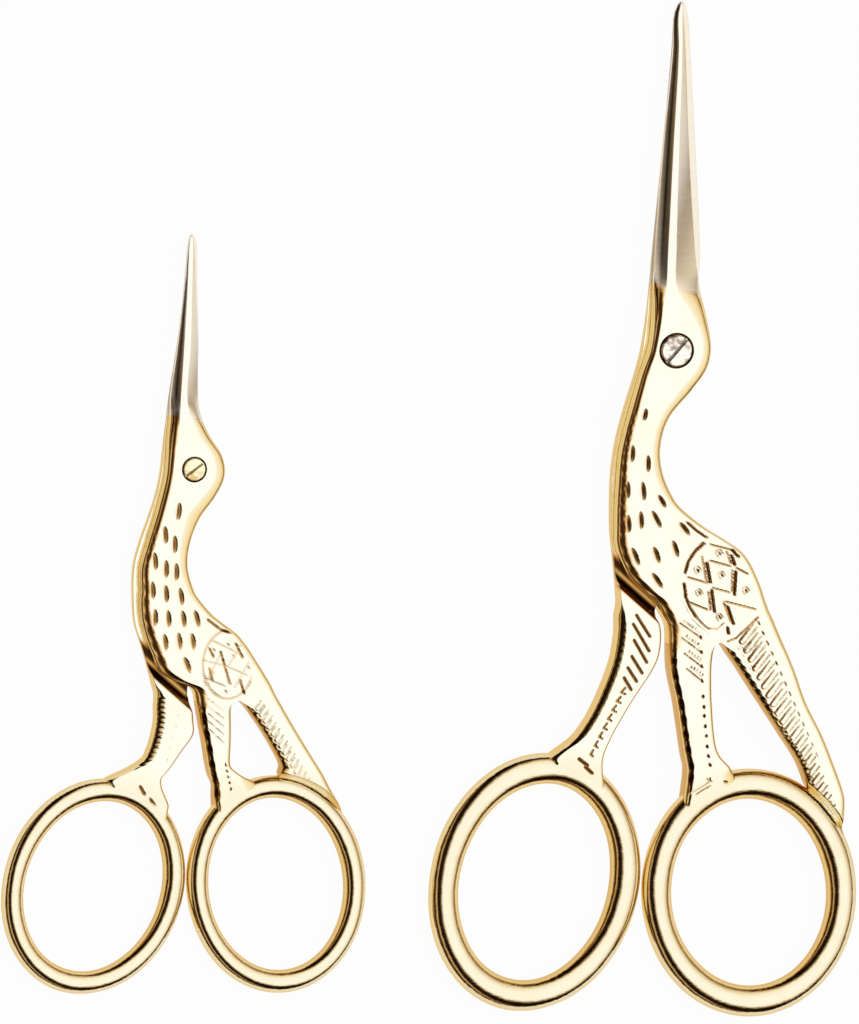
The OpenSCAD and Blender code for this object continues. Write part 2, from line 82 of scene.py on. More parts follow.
# Edges: the quarter circle of a blade's tip, the bevel that breaks a sharp edge, the least height
# of a wall, and how far the undersides of the limbs are rounded.
TIP_RADIUS = 0.55
BROKEN_EDGE = 0.06
LEAST_WALL = 0.08
LIMB_ROUND = 0.3

# Hollow that the grinding wheel leaves, as a share of a bevel's drop: on the spine, along the
# cutting edge, and on the back half.
SPINE_HOLLOW, EDGE_HOLLOW, BACK_HOLLOW = 0.07, 0.03, 0.09

# Finger rings: the power of the section's rounded square and the painted highlight on its top. Limbs
# bend to the ring over a run, and pass this far below its surface, then deeper.
RING_POWER = 1.8
RING_HIGHLIGHT = 0.74
BEND_RUN = 5.0
JOIN_CLEAR, JOIN_DEEPER, JOIN_LEAST = 0.04, 0.15, 0.1

# Screws: the share of its box that a head fills, half the slot's width as a share of the radius,
# the chamfer and the dome of the large head and its radius, the slot's lip, the slant of its walls
# and the thread's end.
HEAD_FILL = 0.93
SLOT_SHARE = 0.1
HEAD_CHAMFER, HEAD_DOME, HEAD_RADIUS = 0.16, 0.12, 2.1
SLOT_LIP, SLOT_SLANT = 0.03, 1e-3
THREAD_END = 0.12

# Spacing of the rows that the front half has round its screw and from there to the legs.
HEAD_SPACING = 0.13
BODY_SPACING = 0.15

# Meshes: columns of a section's corner and lower face, points in a millimetre that are told apart
# with a shift that keeps round values off a rounding edge, and the angle of a sharp edge.
CORNER_STEPS = 8
BOTTOM_COLUMNS = 6
WELD_PER_MM, WELD_SHIFT = 1e4, 0.37
SHARP_DEGREES = 62
TINY = 1e-9


def pivot_of(node):
    """Middle of a screw in millimetres, which is its pair's pivot."""
    low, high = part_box(node)
    return [500 * (low[0] + high[0]), 500 * (low[1] + high[1])]


# Outlines are keys of height above the pivot and value, and repeat the part's own: the middle line
# and width of a plate, how far its edges are bevelled on the left and right, and the share of its
# height that its walls keep. A ring is its inside width and height and its lean in degrees. A limb
# is its hip, the angle of its foot on the ring in degrees, and keys from 0 at the hip to 1 at the
# foot: how far it bows to the right, and its width. teeth are pitch, bite, first and last height.
LARGE = {
    "name": "large", "pivot": pivot_of("large_pivot_screw"), "half": 1.7, "band": 3.8, "blade": 43.0,
    "handle": 82.9, "ring_line": -4.1, "ring_step": 2.1, "back_ring": (19.0, 24.6, 15.0),
    "front_ring": (19.8, 23.2, -6.5),
    "front_line": ((-36, 6.4), (-34, 5.85), (-32.5, 5.15), (-31, 4.4), (-29.5, 3.3), (-28, 2.25),
        (-26.5, 1.45), (-25, 0.55), (-23.5, -0.7), (-22, -1.9), (-20, -3.15), (-18.5, -3.8),
        (-15, -4.45), (-12, -4.4), (-8.5, -3.45), (-5, -1.45), (-2.5, -0.15), (0, 0.6), (3.5, 0.65),
        (7.5, 0.3), (12.5, 0.15), (25, 0.3), (37, 0.7), (41.2, 0.65), (43, 0.95)),
    "front_width": ((-36, 14.2), (-34, 13.6), (-32.5, 13.6), (-31, 14), (-29.5, 15.2), (-28, 16),
        (-26.5, 16.1), (-25, 15.5), (-23.5, 13.7), (-22, 11.3), (-20, 8.75), (-18.5, 7.35), (-15, 5.6),
        (-11, 4.9), (-8, 5.3), (-5, 7.1), (-2.5, 8.2), (0, 7.9), (3.5, 7), (7.5, 6.1), (12.5, 5.2),
        (25, 3.4), (37, 1.7), (41.2, 1.3), (43, 0.55)),
    "back_line": ((-33, -4.7), (-30, -4.4), (-26, -4.2), (-22, -4.4), (-18, -4.7), (-15, -5),
        (-12, -4.85), (-8.5, -3.9), (-5, -1.9), (-2.5, -0.6), (0, 0.1), (3.5, 0.25), (7.5, 0.1),
        (12.5, 0.4), (25, 0.75), (37, 1), (41.2, 1), (43, 1.2)),
    "back_width": ((-33, 4.6), (-30, 5.4), (-26, 6.5), (-22, 6.9), (-18, 6.3), (-15, 5.4), (-12, 4.9),
        (-8.5, 5.1), (-5, 6.9), (-2.5, 7.9), (0, 8), (3.5, 7.3), (7.5, 6.4), (12.5, 6.1), (25, 4.2),
        (37, 2.4), (41.2, 1.8), (43, 0.6)),
    "front_left": ((-36, 0.5), (-10, 0.5), (0, 0.45), (2.5, 0.5), (5, 1), (7.5, 1.45), (12.5, 1.4),
        (25, 1.05), (37, 0.6), (41.2, 0.48), (43, 0.22)),
    "front_right": ((-36, 0.8), (-24, 0.7), (-16, 1.15), (-12, 1.1), (-8, 1.3), (-5, 1.8), (-2.5, 1.5),
        (0, 1.2), (2.5, 1.4), (5, 2.2), (7.5, 3.3), (12.5, 2.8), (25, 1.6), (37, 0.65), (43, 0.15)),
    "back_left": ((-33, 0.5), (0, 0.5), (2.5, 0.8), (5, 1.8), (7.5, 3), (12.5, 2.9), (25, 2), (37, 1),
        (43, 0.15)),
    "back_right": ((-33, 0.5), (0, 0.5), (2.5, 0.6), (5, 1), (7.5, 1.4), (12.5, 1.3), (25, 1),
        (37, 0.5), (43, 0.12)),
    "thickness": ((-36, 1), (12.5, 1), (25, 0.88), (37, 0.62), (43, 0.35)),
    "spine_wall": ((-36, 0.68), (2.5, 0.68), (7.5, 0.5), (12.5, 0.38), (43, 0.38)),
    "edge_wall": ((-36, 0.62), (0, 0.62), (2.5, 0.5), (5, 0.3), (8.5, 0.05), (43, 0.05)),
    "front_limb": ((2.2, -31.5), 115, ((0, 0), (0.2, -0.35), (0.33, -0.6), (0.5, -0.35), (0.7, 0),
        (0.77, 0.35), (0.84, 1.1), (1, 1)), ((0, 5.8), (0.2, 5.6), (0.35, 5.1), (0.5, 4.4), (0.7, 4.1),
        (0.77, 4.4), (0.84, 5.5), (1, 7))),
    "tail": ((8.8, -31.5), 30, ((0, 0), (0.16, -0.7), (0.3, -0.1), (0.45, 0.5), (0.59, 1.35),
        (0.72, 1.9), (0.86, 1.8), (0.94, 1), (1, 0.2)), ((0, 5.3), (0.16, 7.5), (0.3, 6.8), (0.45, 5.6),
        (0.59, 5), (0.72, 4.2), (0.94, 4.2), (1, 3.4))),
    "back_limb": ((-6.9, -29.6), 65, ((0, 0), (0.06, 1.1), (0.12, 2.2), (0.2, 2.85), (0.33, 2.85),
        (0.41, 2.3), (0.49, 1.45), (0.57, 0.55), (0.65, -0.4), (0.73, -1.5), (0.84, -3.4), (1, -2.5)),
        ((0, 0.8), (0.06, 2.7), (0.12, 4.6), (0.2, 5.4), (0.33, 5.6), (0.41, 5.3), (0.49, 4.75),
        (0.57, 4.3), (0.65, 4.2), (0.73, 4.6), (0.84, 6.8), (1, 6))),
    "blade_root": 7.5, "limbs_from": -33.0, "crotch": -36.3, "crotch_radius": 0.85,
    "full_height_from": -31.6, "steel_from": 7.6, "steel_slope": -0.25, "leg_join": (-31.0, -33.0),
    "step_from": (-6.57, -28.24), "step_to": (-2.07, -32.24), "step_run": 1.25, "leg_columns": 44,
    "tail_columns": 66, "teeth": (0.9, 0.12, -33, -49), "screw_rise": 0.85, "shank": 2.4, "thread": 1.9,
    "slot_angle": 48, "recess_radius": 2.22,
}
SMALL = {
    "name": "small", "pivot": pivot_of("small_pivot_screw"), "half": 1.4, "band": 2.8, "blade": 28.9,
    "handle": 65.1, "ring_line": -0.8, "ring_step": 0.4, "back_ring": (17.2, 21.4, 20.0),
    "front_ring": (17.1, 21.4, -8.0),
    "front_line": ((-28.6, 5.65), (-27, 4.8), (-26, 3.35), (-25, 2.3), (-24, 1.65), (-23, 1.15),
        (-22, 0.6), (-20.5, -0.3), (-19, -1.45), (-18, -2.15), (-16, -3.05), (-15, -3.3), (-12, -3.7),
        (-9, -3.1), (-6, -2), (-3.5, -0.7), (-1, 0.2), (1.5, 0.2), (4, -0.5), (6.5, -0.9), (9, -1),
        (15, -0.55), (22, -0.25), (27.8, -0.1), (28.9, -0.05)),
    "front_width": ((-28.6, 10.3), (-27, 10.2), (-26, 11.9), (-25, 12.8), (-24, 12.8), (-23, 12.55),
        (-22, 12.3), (-20.5, 11.6), (-19, 10.05), (-18, 9), (-16, 7.4), (-15, 6.7), (-12, 5.9),
        (-9, 5.4), (-6, 5.7), (-3.5, 6.9), (-1, 7.5), (1.5, 7), (4, 5.4), (6.5, 4.1), (9, 3.6),
        (15, 2.7), (22, 1.6), (27.8, 0.8), (28.9, 0.35)),
    "back_line": ((-28, -2.6), (-25, -2.9), (-22, -3.4), (-19, -4.2), (-16, -4.6), (-12, -4.5),
        (-9, -3.8), (-6, -2.6), (-3.5, -1.2), (-1, -0.3), (1.5, -0.2), (4, -0.8), (6.5, -1.1),
        (9, -1.1), (15, -0.5), (22, -0.1), (27.8, 0.2), (28.9, 0.05)),
    "back_width": ((-28, 4.2), (-25, 4.9), (-22, 5.6), (-19, 5.9), (-16, 5.6), (-12, 5.6), (-9, 5.4),
        (-6, 5.6), (-3.5, 6.7), (-1, 7.3), (1.5, 6.9), (4, 5.3), (6.5, 4.2), (9, 3.6), (15, 2.8),
        (22, 1.7), (27.8, 0.9), (28.9, 0.35)),
    "front_left": ((-28.6, 0.5), (-4, 0.5), (-1, 0.65), (1.5, 0.85), (4, 1.2), (9, 1.1), (15, 0.65),
        (22, 0.3), (28.9, 0.08)),
    "front_right": ((-28.6, 0.7), (-18, 0.9), (-12, 1.1), (-8, 1.5), (-4.7, 2), (-1.3, 1.4), (1.5, 1.4),
        (4.7, 1.5), (9, 1.7), (15, 1.2), (22, 0.7), (28.9, 0.12)),
    "back_left": ((-28, 0.5), (1.5, 0.7), (4, 1.4), (9, 1.9), (15, 1.5), (22, 0.8), (28.9, 0.12)),
    "back_right": ((-28, 0.5), (1.5, 0.6), (9, 0.9), (15, 0.6), (22, 0.3), (28.9, 0.08)),
    "thickness": ((-28.6, 1), (9, 1), (15, 0.88), (22, 0.68), (28.9, 0.38)),
    "spine_wall": ((-28.6, 0.68), (1.5, 0.68), (4, 0.55), (9, 0.38), (28.9, 0.38)),
    "edge_wall": ((-28.6, 0.62), (-1.3, 0.62), (1.5, 0.5), (4, 0.3), (6.5, 0.06), (28.9, 0.06)),
    "front_limb": ((2.4, -26.5), 118, ((0, 0), (0.23, -0.2), (0.49, -0.4), (0.66, -0.6), (0.7, -0.45),
        (0.76, 0.1), (0.84, 0.9), (1, 1)), ((0, 4.4), (0.23, 4), (0.36, 3.7), (0.49, 3.3), (0.66, 2.8),
        (0.7, 3), (0.76, 4), (0.84, 5.4), (1, 6))),
    "tail": ((6.3, -26), 45, ((0, 0), (0.17, 0.4), (0.37, 0.5), (0.56, 0.45), (0.68, 0.3), (0.78, -0.3),
        (1, 0.2)), ((0, 5.6), (0.17, 4.7), (0.37, 4.2), (0.56, 4.2), (0.68, 4.5), (0.78, 5.6),
        (1, 3.2))),
    "back_limb": ((-4.7, -25), 72, ((0, 0), (0.06, 0.7), (0.12, 1.5), (0.18, 2.3), (0.27, 2.5),
        (0.35, 2.65), (0.47, 2.6), (0.59, 1.7), (0.65, 1.1), (0.71, 0), (0.81, -2.1), (1, -0.8)),
        ((0, 0.5), (0.06, 1.6), (0.12, 2.85), (0.18, 4.1), (0.27, 4.5), (0.35, 4.6), (0.47, 4.95),
        (0.59, 4.2), (0.65, 4.1), (0.71, 5), (0.81, 7), (1, 6))),
    "blade_root": 7.5, "limbs_from": -26.6, "crotch": -28.7, "crotch_radius": 0.9,
    "full_height_from": -26.2, "steel_from": 6.2, "steel_slope": -0.2, "leg_join": (-26.2, -28.0),
    "step_from": (-5.2, -24.35), "step_to": (-1.1, -27.95), "step_run": 1.0, "leg_columns": 34,
    "tail_columns": 44, "teeth": (0.62, 0.4, -27.6, -37), "screw_rise": 0.7, "shank": 1.8,
    "thread": 1.4, "slot_angle": 35, "recess_radius": 1.6,
}
PAIRS = {"large": LARGE, "small": SMALL}


def smooth(share):
    """Eases a share from 0 to 1 with level ends."""
    share = np.clip(share, 0, 1)
    return share * share * (3 - 2 * share)


def curve(keys, at):
    """Smooth curve through keys (place, value): a cubic between two keys, whose slope at each key
    is that of the line between the keys beside it."""
    place, value = np.array(keys, float).T
    at = np.asarray(at, float)
    order = np.arange(len(place))
    before, after = np.maximum(order - 1, 0), np.minimum(order + 1, len(place) - 1)
    slope = (value[after] - value[before]) / (place[after] - place[before])
    i = np.clip(np.searchsorted(place, at, "right") - 1, 0, len(place) - 2)
    step = place[i + 1] - place[i]
    s = np.clip((at - place[i]) / step, 0, 1)
    rise = value[i + 1] - value[i]
    bend = step * s * (1 - s) * (slope[i] * (1 - s) - slope[i + 1] * s)
    return value[i] + rise * s * s * (3 - 2 * s) + bend


def total(pair):
    """Thickness of a closed pair, from the table up."""
    return 2 * pair["half"] + LAYER_GAP - FLAT_CUT


def ring_reach(pair, ring, across):
    """Half the extent of a leaning ellipse, along X or along Y."""
    width, height, lean = pair[ring]
    a, b = width / 2 + pair["band"], height / 2 + pair["band"]
    c, s = math.cos(math.radians(lean)), math.sin(math.radians(lean))
    return math.hypot(a * c, b * s) if across else math.hypot(b * c, a * s)


def ring_centre(pair, ring):
    """Middle of a finger ring, which just misses the other ring of its pair."""
    reach = pair["handle"] - ring_reach(pair, "front_ring", False)
    side = RING_GAP / 2 + ring_reach(pair, ring, True)
    if ring == "front_ring":
        return pair["ring_line"] + side, -reach
    return pair["ring_line"] - side, pair["ring_step"] - reach


def ring_point(pair, ring, angle, out):
    """Point of a finger ring: an ellipse at that angle, moved outwards along its normal, then
    leaned about the ring's middle."""
    width, height, lean = pair[ring]
    a, b = (width + pair["band"]) / 2, (height + pair["band"]) / 2
    c, s = np.cos(angle), np.sin(angle)
    away = np.hypot(b * c, a * s)
    x, y = a * c + b * c / away * out, b * s + a * s / away * out
    turn = -math.radians(lean)
    centre = ring_centre(pair, ring)
    return (centre[0] + x * math.cos(turn) - y * math.sin(turn),
            centre[1] + x * math.sin(turn) + y * math.cos(turn))


def ring_distance(pair, ring, x, y):
    """How far a point lies outside the middle line of a ring's band: the ellipse's own formula
    divided by its slope."""
    width, height, lean = pair[ring]
    a, b = (width + pair["band"]) / 2, (height + pair["band"]) / 2
    centre = ring_centre(pair, ring)
    turn = math.radians(lean)
    dx, dy = x - centre[0], y - centre[1]
    u = dx * math.cos(turn) - dy * math.sin(turn)
    v = dx * math.sin(turn) + dy * math.cos(turn)
    q = np.hypot(u / a, v / b) + TINY
    return (q - 1) * q / np.hypot(u / a ** 2, v / b ** 2)


def limb_lines(pair, name, ring, y):
    """Left and right edge of a leg or the tail at a height: a straight way from hip to ring, bowed
    and widened by its keys."""
    hip, foot_angle, bow, width = pair[name]
    foot = ring_point(pair, ring, math.radians(foot_angle), 0)
    s = (y - hip[1]) / (foot[1] - hip[1])
    middle = hip[0] + (foot[0] - hip[0]) * s + curve(bow, s)
    across = curve(width, s)
    return middle - across / 2, middle + across / 2


def limb_middle(pair, name, ring, y):
    """Middle line of a leg or the tail at a height."""
    return sum(limb_lines(pair, name, ring, y)) / 2


def plate_lines(pair, side, y):
    """Left and right edge of a half's blade, head and body."""
    middle, width = curve(pair[side + "_line"], y), curve(pair[side + "_width"], y)
    return middle - width / 2, middle + width / 2


def tip_round(pair, y):
    """Share of its width and thickness that a blade keeps near the tip: a quarter circle."""
    share = np.clip((y - pair["blade"] + TIP_RADIUS) / TIP_RADIUS, 0, 1)
    return np.sqrt(np.maximum(1 - share ** 2, 1e-4))


def narrow_tip(pair, y, left, right):
    """Draws a plate's edges in at the blade's tip. Gives the edges, the plate's thickness and the
    share that is kept."""
    rounded = tip_round(pair, y)
    middle = (left + right) / 2
    left, right = middle + (left - middle) * rounded, middle + (right - middle) * rounded
    return left, right, pair["half"] * curve(pair["thickness"], y) * rounded, rounded


def wall_heights(pair, y, thick):
    """Heights of the walls along a plate's spine and along its cutting edge."""
    return [np.maximum(thick * curve(pair[wall], y), LEAST_WALL)
            for wall in ("spine_wall", "edge_wall")]


def ground_share(pair, y):
    """1 on the ground blade and 0 on the head, eased between them."""
    return smooth((y - pair["blade_root"] + 2) / 4)


class Corner:
    """One edge of a cross-section. It runs from its wall to its face, and is round, or a flat
    bevel that a grinding wheel has hollowed."""

    def __init__(self, width, drop, roundness=1.0, hollow=0.0):
        self.width, self.drop, self.roundness, self.hollow = width, drop, roundness, hollow

    def points(self, rows):
        """Way in from the wall and depth below the face. Depth is 1 - f(s) of the drop, where f is
        a quarter circle or a straight line less a shallow arch."""
        s = (0.5 - 0.5 * np.cos(np.linspace(0, np.pi, CORNER_STEPS + 1)))[None, :]
        width, drop, roundness, hollow = (np.broadcast_to(v, rows)[:, None] for v in (
            self.width, self.drop, self.roundness, self.hollow))
        arc = np.sqrt(np.clip(1 - (1 - s) ** 2, 0, 1))
        line = s - hollow * 4 * s * (1 - s)
        return width * s, drop * (1 - (roundness * arc + (1 - roundness) * line))


def cross_sections(left, right, low, high, corners, top_x, bottom_x):
    """Rows of closed sections: up the left side, over the upper face, down the right side and back
    along the lower face. corners are upper left, upper right, lower left and lower right; top_x
    and bottom_x place the columns as shares of the flat faces. Gives x, z and the share by which
    each column lies on a face."""
    rows = len(left)
    ul, ur, ll, lr = (corner.points(rows) for corner in corners)
    column = lambda v: np.broadcast_to(v, rows)[:, None]
    left, right, low, high = column(left), column(right), column(low), column(high)
    top = left + ul[0][:, -1:] + (right - ur[0][:, -1:] - left - ul[0][:, -1:]) * top_x
    bottom = left + ll[0][:, -1:] + (right - lr[0][:, -1:] - left - ll[0][:, -1:]) * bottom_x
    flat = np.ones_like(top)
    x = [left + ul[0], top[:, 1:-1], (right - ur[0])[:, ::-1],
         right - lr[0], bottom[:, 1:-1][:, ::-1], (left + ll[0])[:, ::-1]]
    z = [high - ul[1], (high * flat)[:, 1:-1], (high - ur[1])[:, ::-1],
         low + lr[1], np.broadcast_to(low, bottom.shape)[:, 1:-1], (low + ll[1])[:, ::-1]]
    edge = np.broadcast_to(np.linspace(0, 1, CORNER_STEPS + 1) ** 2, ul[0].shape)
    on_top = [edge, flat[:, 1:-1], edge[:, ::-1], 0 * edge, 0 * bottom[:, 1:-1], 0 * edge]
    return np.hstack(x), np.hstack(z), np.hstack(on_top)


def upper_count(columns):
    """How many of a section's columns lie on its left wall, its upper face and its right corner."""
    return 2 * (CORNER_STEPS + 1) + columns - 1


def limb_dive(pair, ring, x, y, z, upper, from_outside):
    """Lets a limb's faces run into its ring. Inside the band's middle line, or from its outer edge
    on, the faces pass just below the ring's own surface."""
    distance = ring_distance(pair, ring, x, y)
    half = pair["band"] / 2
    middle = total(pair) / 2
    surface = middle * np.clip(1 - np.abs(distance / half) ** RING_POWER, 0, 1) ** (1 / RING_POWER)
    start = half if from_outside else 0.25 * half
    deeper = JOIN_DEEPER * smooth((start - distance) / half)
    under = np.maximum(surface - JOIN_CLEAR - deeper, JOIN_LEAST)
    dive = smooth((start + 0.3 * half - distance) / (0.5 * half))
    level = np.where(upper, middle + under, middle - under)
    inside = np.where(upper, np.minimum(z, level), np.maximum(z, level))
    return z + (inside - z) * dive


def close_end(x, y, z, end):
    """Adds a row before the first or after the last one, where every column meets in the middle."""
    row = -1 if end == "last" else 0
    point = [np.full((1, x.shape[1]), v[row].mean()) for v in (x, y, z)]
    if end == "last":
        return [np.vstack([v, p]) for v, p in zip((x, y, z), point)]
    return [np.vstack([p, v]) for v, p in zip((x, y, z), point)]


class Skin:
    """Grids of points that become one mesh, with two attributes of painted colour: the first is
    painted shade, which grows with how far a point lies in the ornament and marks painted dark lines,
    and the second is a painted highlight, 1 on the upper faces and below 0 where walls get painted
    shade."""

    def __init__(self):
        self.points, self.triangles, self.carved, self.painted_light = [], [], [], []
        self.count = 0

    def add(self, x, y, z, carved, painted_light, flip=False, closed=True):
        """A grid of rows and columns. Its columns close into a loop, unless closed is false."""
        rows, columns = x.shape
        index = self.count + np.arange(rows * columns).reshape(rows, columns)
        if closed:
            index = np.hstack([index, index[:, :1]])
        a, b, c, d = index[:-1, :-1], index[:-1, 1:], index[1:, 1:], index[1:, :-1]
        quads = np.stack([a, b, c, a, c, d], -1).reshape(-1, 3)
        self.triangles.append(quads[:, ::-1] if flip else quads)
        self.points.append(np.stack([x, y, z], -1).reshape(-1, 3))
        self.carved.append(np.broadcast_to(carved, x.shape).reshape(-1))
        self.painted_light.append(np.broadcast_to(painted_light, x.shape).reshape(-1))
        self.count += rows * columns

    def finish(self, name, pivot):
        """Welds points that coincide, drops triangles without area, and makes the object with its
        place in its mesh."""
        points = np.vstack(self.points)
        key = np.round(points * WELD_PER_MM + WELD_SHIFT).astype(np.int64)
        _, first, back = np.unique(key, axis=0, return_index=True, return_inverse=True)
        back = back.reshape(-1)
        triangles = back[np.vstack(self.triangles)]
        a, b, c = triangles.T
        triangles = triangles[(a != b) & (b != c) & (c != a)]
        used = np.unique(triangles)
        renumber = np.zeros(len(first), np.int64)
        renumber[used] = np.arange(len(used))
        triangles = renumber[triangles]
        points = points[first][used] + [pivot[0], pivot[1], 0]
        mesh = bpy.data.meshes.new(name)
        mesh.vertices.add(len(points))
        mesh.vertices.foreach_set("co", (points * MM).astype(np.float32).ravel())
        mesh.loops.add(triangles.size)
        mesh.loops.foreach_set("vertex_index", triangles.astype(np.int32).ravel())
        mesh.polygons.add(len(triangles))
        mesh.polygons.foreach_set("loop_start", np.arange(0, triangles.size, 3, dtype=np.int32))
        mesh.update(calc_edges=True)
        mesh.validate()
        for label, values in (("carved", self.carved), ("painted_light", self.painted_light)):
            layer = mesh.attributes.new(label, "FLOAT", "POINT")
            layer.data.foreach_set("value", np.concatenate(values)[first][used].astype(np.float32))
        mesh.shade_smooth()
        mesh.set_sharp_from_angle(angle=math.radians(SHARP_DEGREES))
        obj = bpy.data.objects.new(name, mesh)
        bpy.context.scene.collection.objects.link(obj)
        return obj


class Chasing:
    """Marks cut into an upper face at the points x and y. Each point takes its deepest mark. Depths
    are positive into the metal, and every size is in millimetres."""

    def __init__(self, x, y):
        self.x, self.y, self.depth = x, y, 0 * x

    def cut(self, depth):
        """Takes a mark in."""
        self.depth = np.maximum(self.depth, depth)

    def turned(self, place, lean):
        """Distances from a place: along a direction that leans by so many degrees from X, and
        across it to the left."""
        c, s = math.cos(math.radians(lean)), math.sin(math.radians(lean))
        dx, dy = self.x - place[0], self.y - place[1]
        return dx * c + dy * s, dy * c - dx * s

    def strokes(self, lines, width, depth):
        """Straight grooves with round floors. A line is the x and y of its start and its end."""
        for x1, y1, x2, y2 in lines:
            ax, ay, dx, dy = x2 - x1, y2 - y1, self.x - x1, self.y - y1
            along = np.clip((dx * ax + dy * ay) / (ax * ax + ay * ay + TINY), 0, 1)
            away = np.hypot(self.x - x1 - along * ax, self.y - y1 - along * ay)
            self.cut(depth * np.clip(1 - (away / (width / 2)) ** 2, 0, 1))

    def path(self, points, width, depth):
        """A groove along a line through several points."""
        self.strokes([(*a, *b) for a, b in zip(points[:-1], points[1:])], width, depth)

    def dimple(self, place, length, width, lean, depth):
        """A long bowl with a crisp rim, such as a feather. Its lower end swings right by its lean."""
        across, along = self.turned(place, lean)
        q = (2 * across / width) ** 2 + np.abs(2 * along / length) ** 2.6
        # Deeper along the right, so that the painted shade of the cut gathers in a crescent there.
        skew = 0.4 + 1.3 * smooth((2 * across / width + 0.15) / 0.5)
        self.cut(depth * skew * np.clip(1 - q, 0, 1) ** 0.6)

    def loop(self, place, length, width, lean, depth, line, shade=0.0):
        """An open loop: the outline of a long rounded mark, left open at its upper end. With shade,
        it is cut deeper along its left side and its foot, and fades towards its upper end."""
        along, across = self.turned(place, lean)
        straight = (length - width) / 2
        away = np.hypot(along - np.clip(along, -straight, straight), across)
        outline = np.clip(1 - ((away - width / 2) / (line / 2)) ** 2, 0, 1)
        left = np.clip(2 * across / width, -1, 1)
        foot, head = smooth(0.5 - along / length), smooth(0.5 + along / length)
        pressed = 1 + shade * left * foot - 0.5 * shade * head
        self.cut(depth * pressed * outline * smooth((straight + 0.25 - along) / 0.2))


def medallion(x, y, centre, half_width, half_height, rim, sink):
    """A raised oval cord with a groove inside it, round a field that lies a little lower."""
    u, v = (x - centre[0]) / half_width, (y - centre[1]) / half_height
    q = np.hypot(u, v) + TINY
    away = (q - 1) * q / np.hypot(u / half_width, v / half_height)
    cord = -0.07 * np.clip(1 - (away / (rim / 2)) ** 2, 0, 1)
    groove = 0.16 * np.clip(1 - ((away + 0.75 * rim) / (0.4 * rim)) ** 2, 0, 1)
    return cord + groove + sink * smooth(-(away + 0.6 * rim) / 0.2)


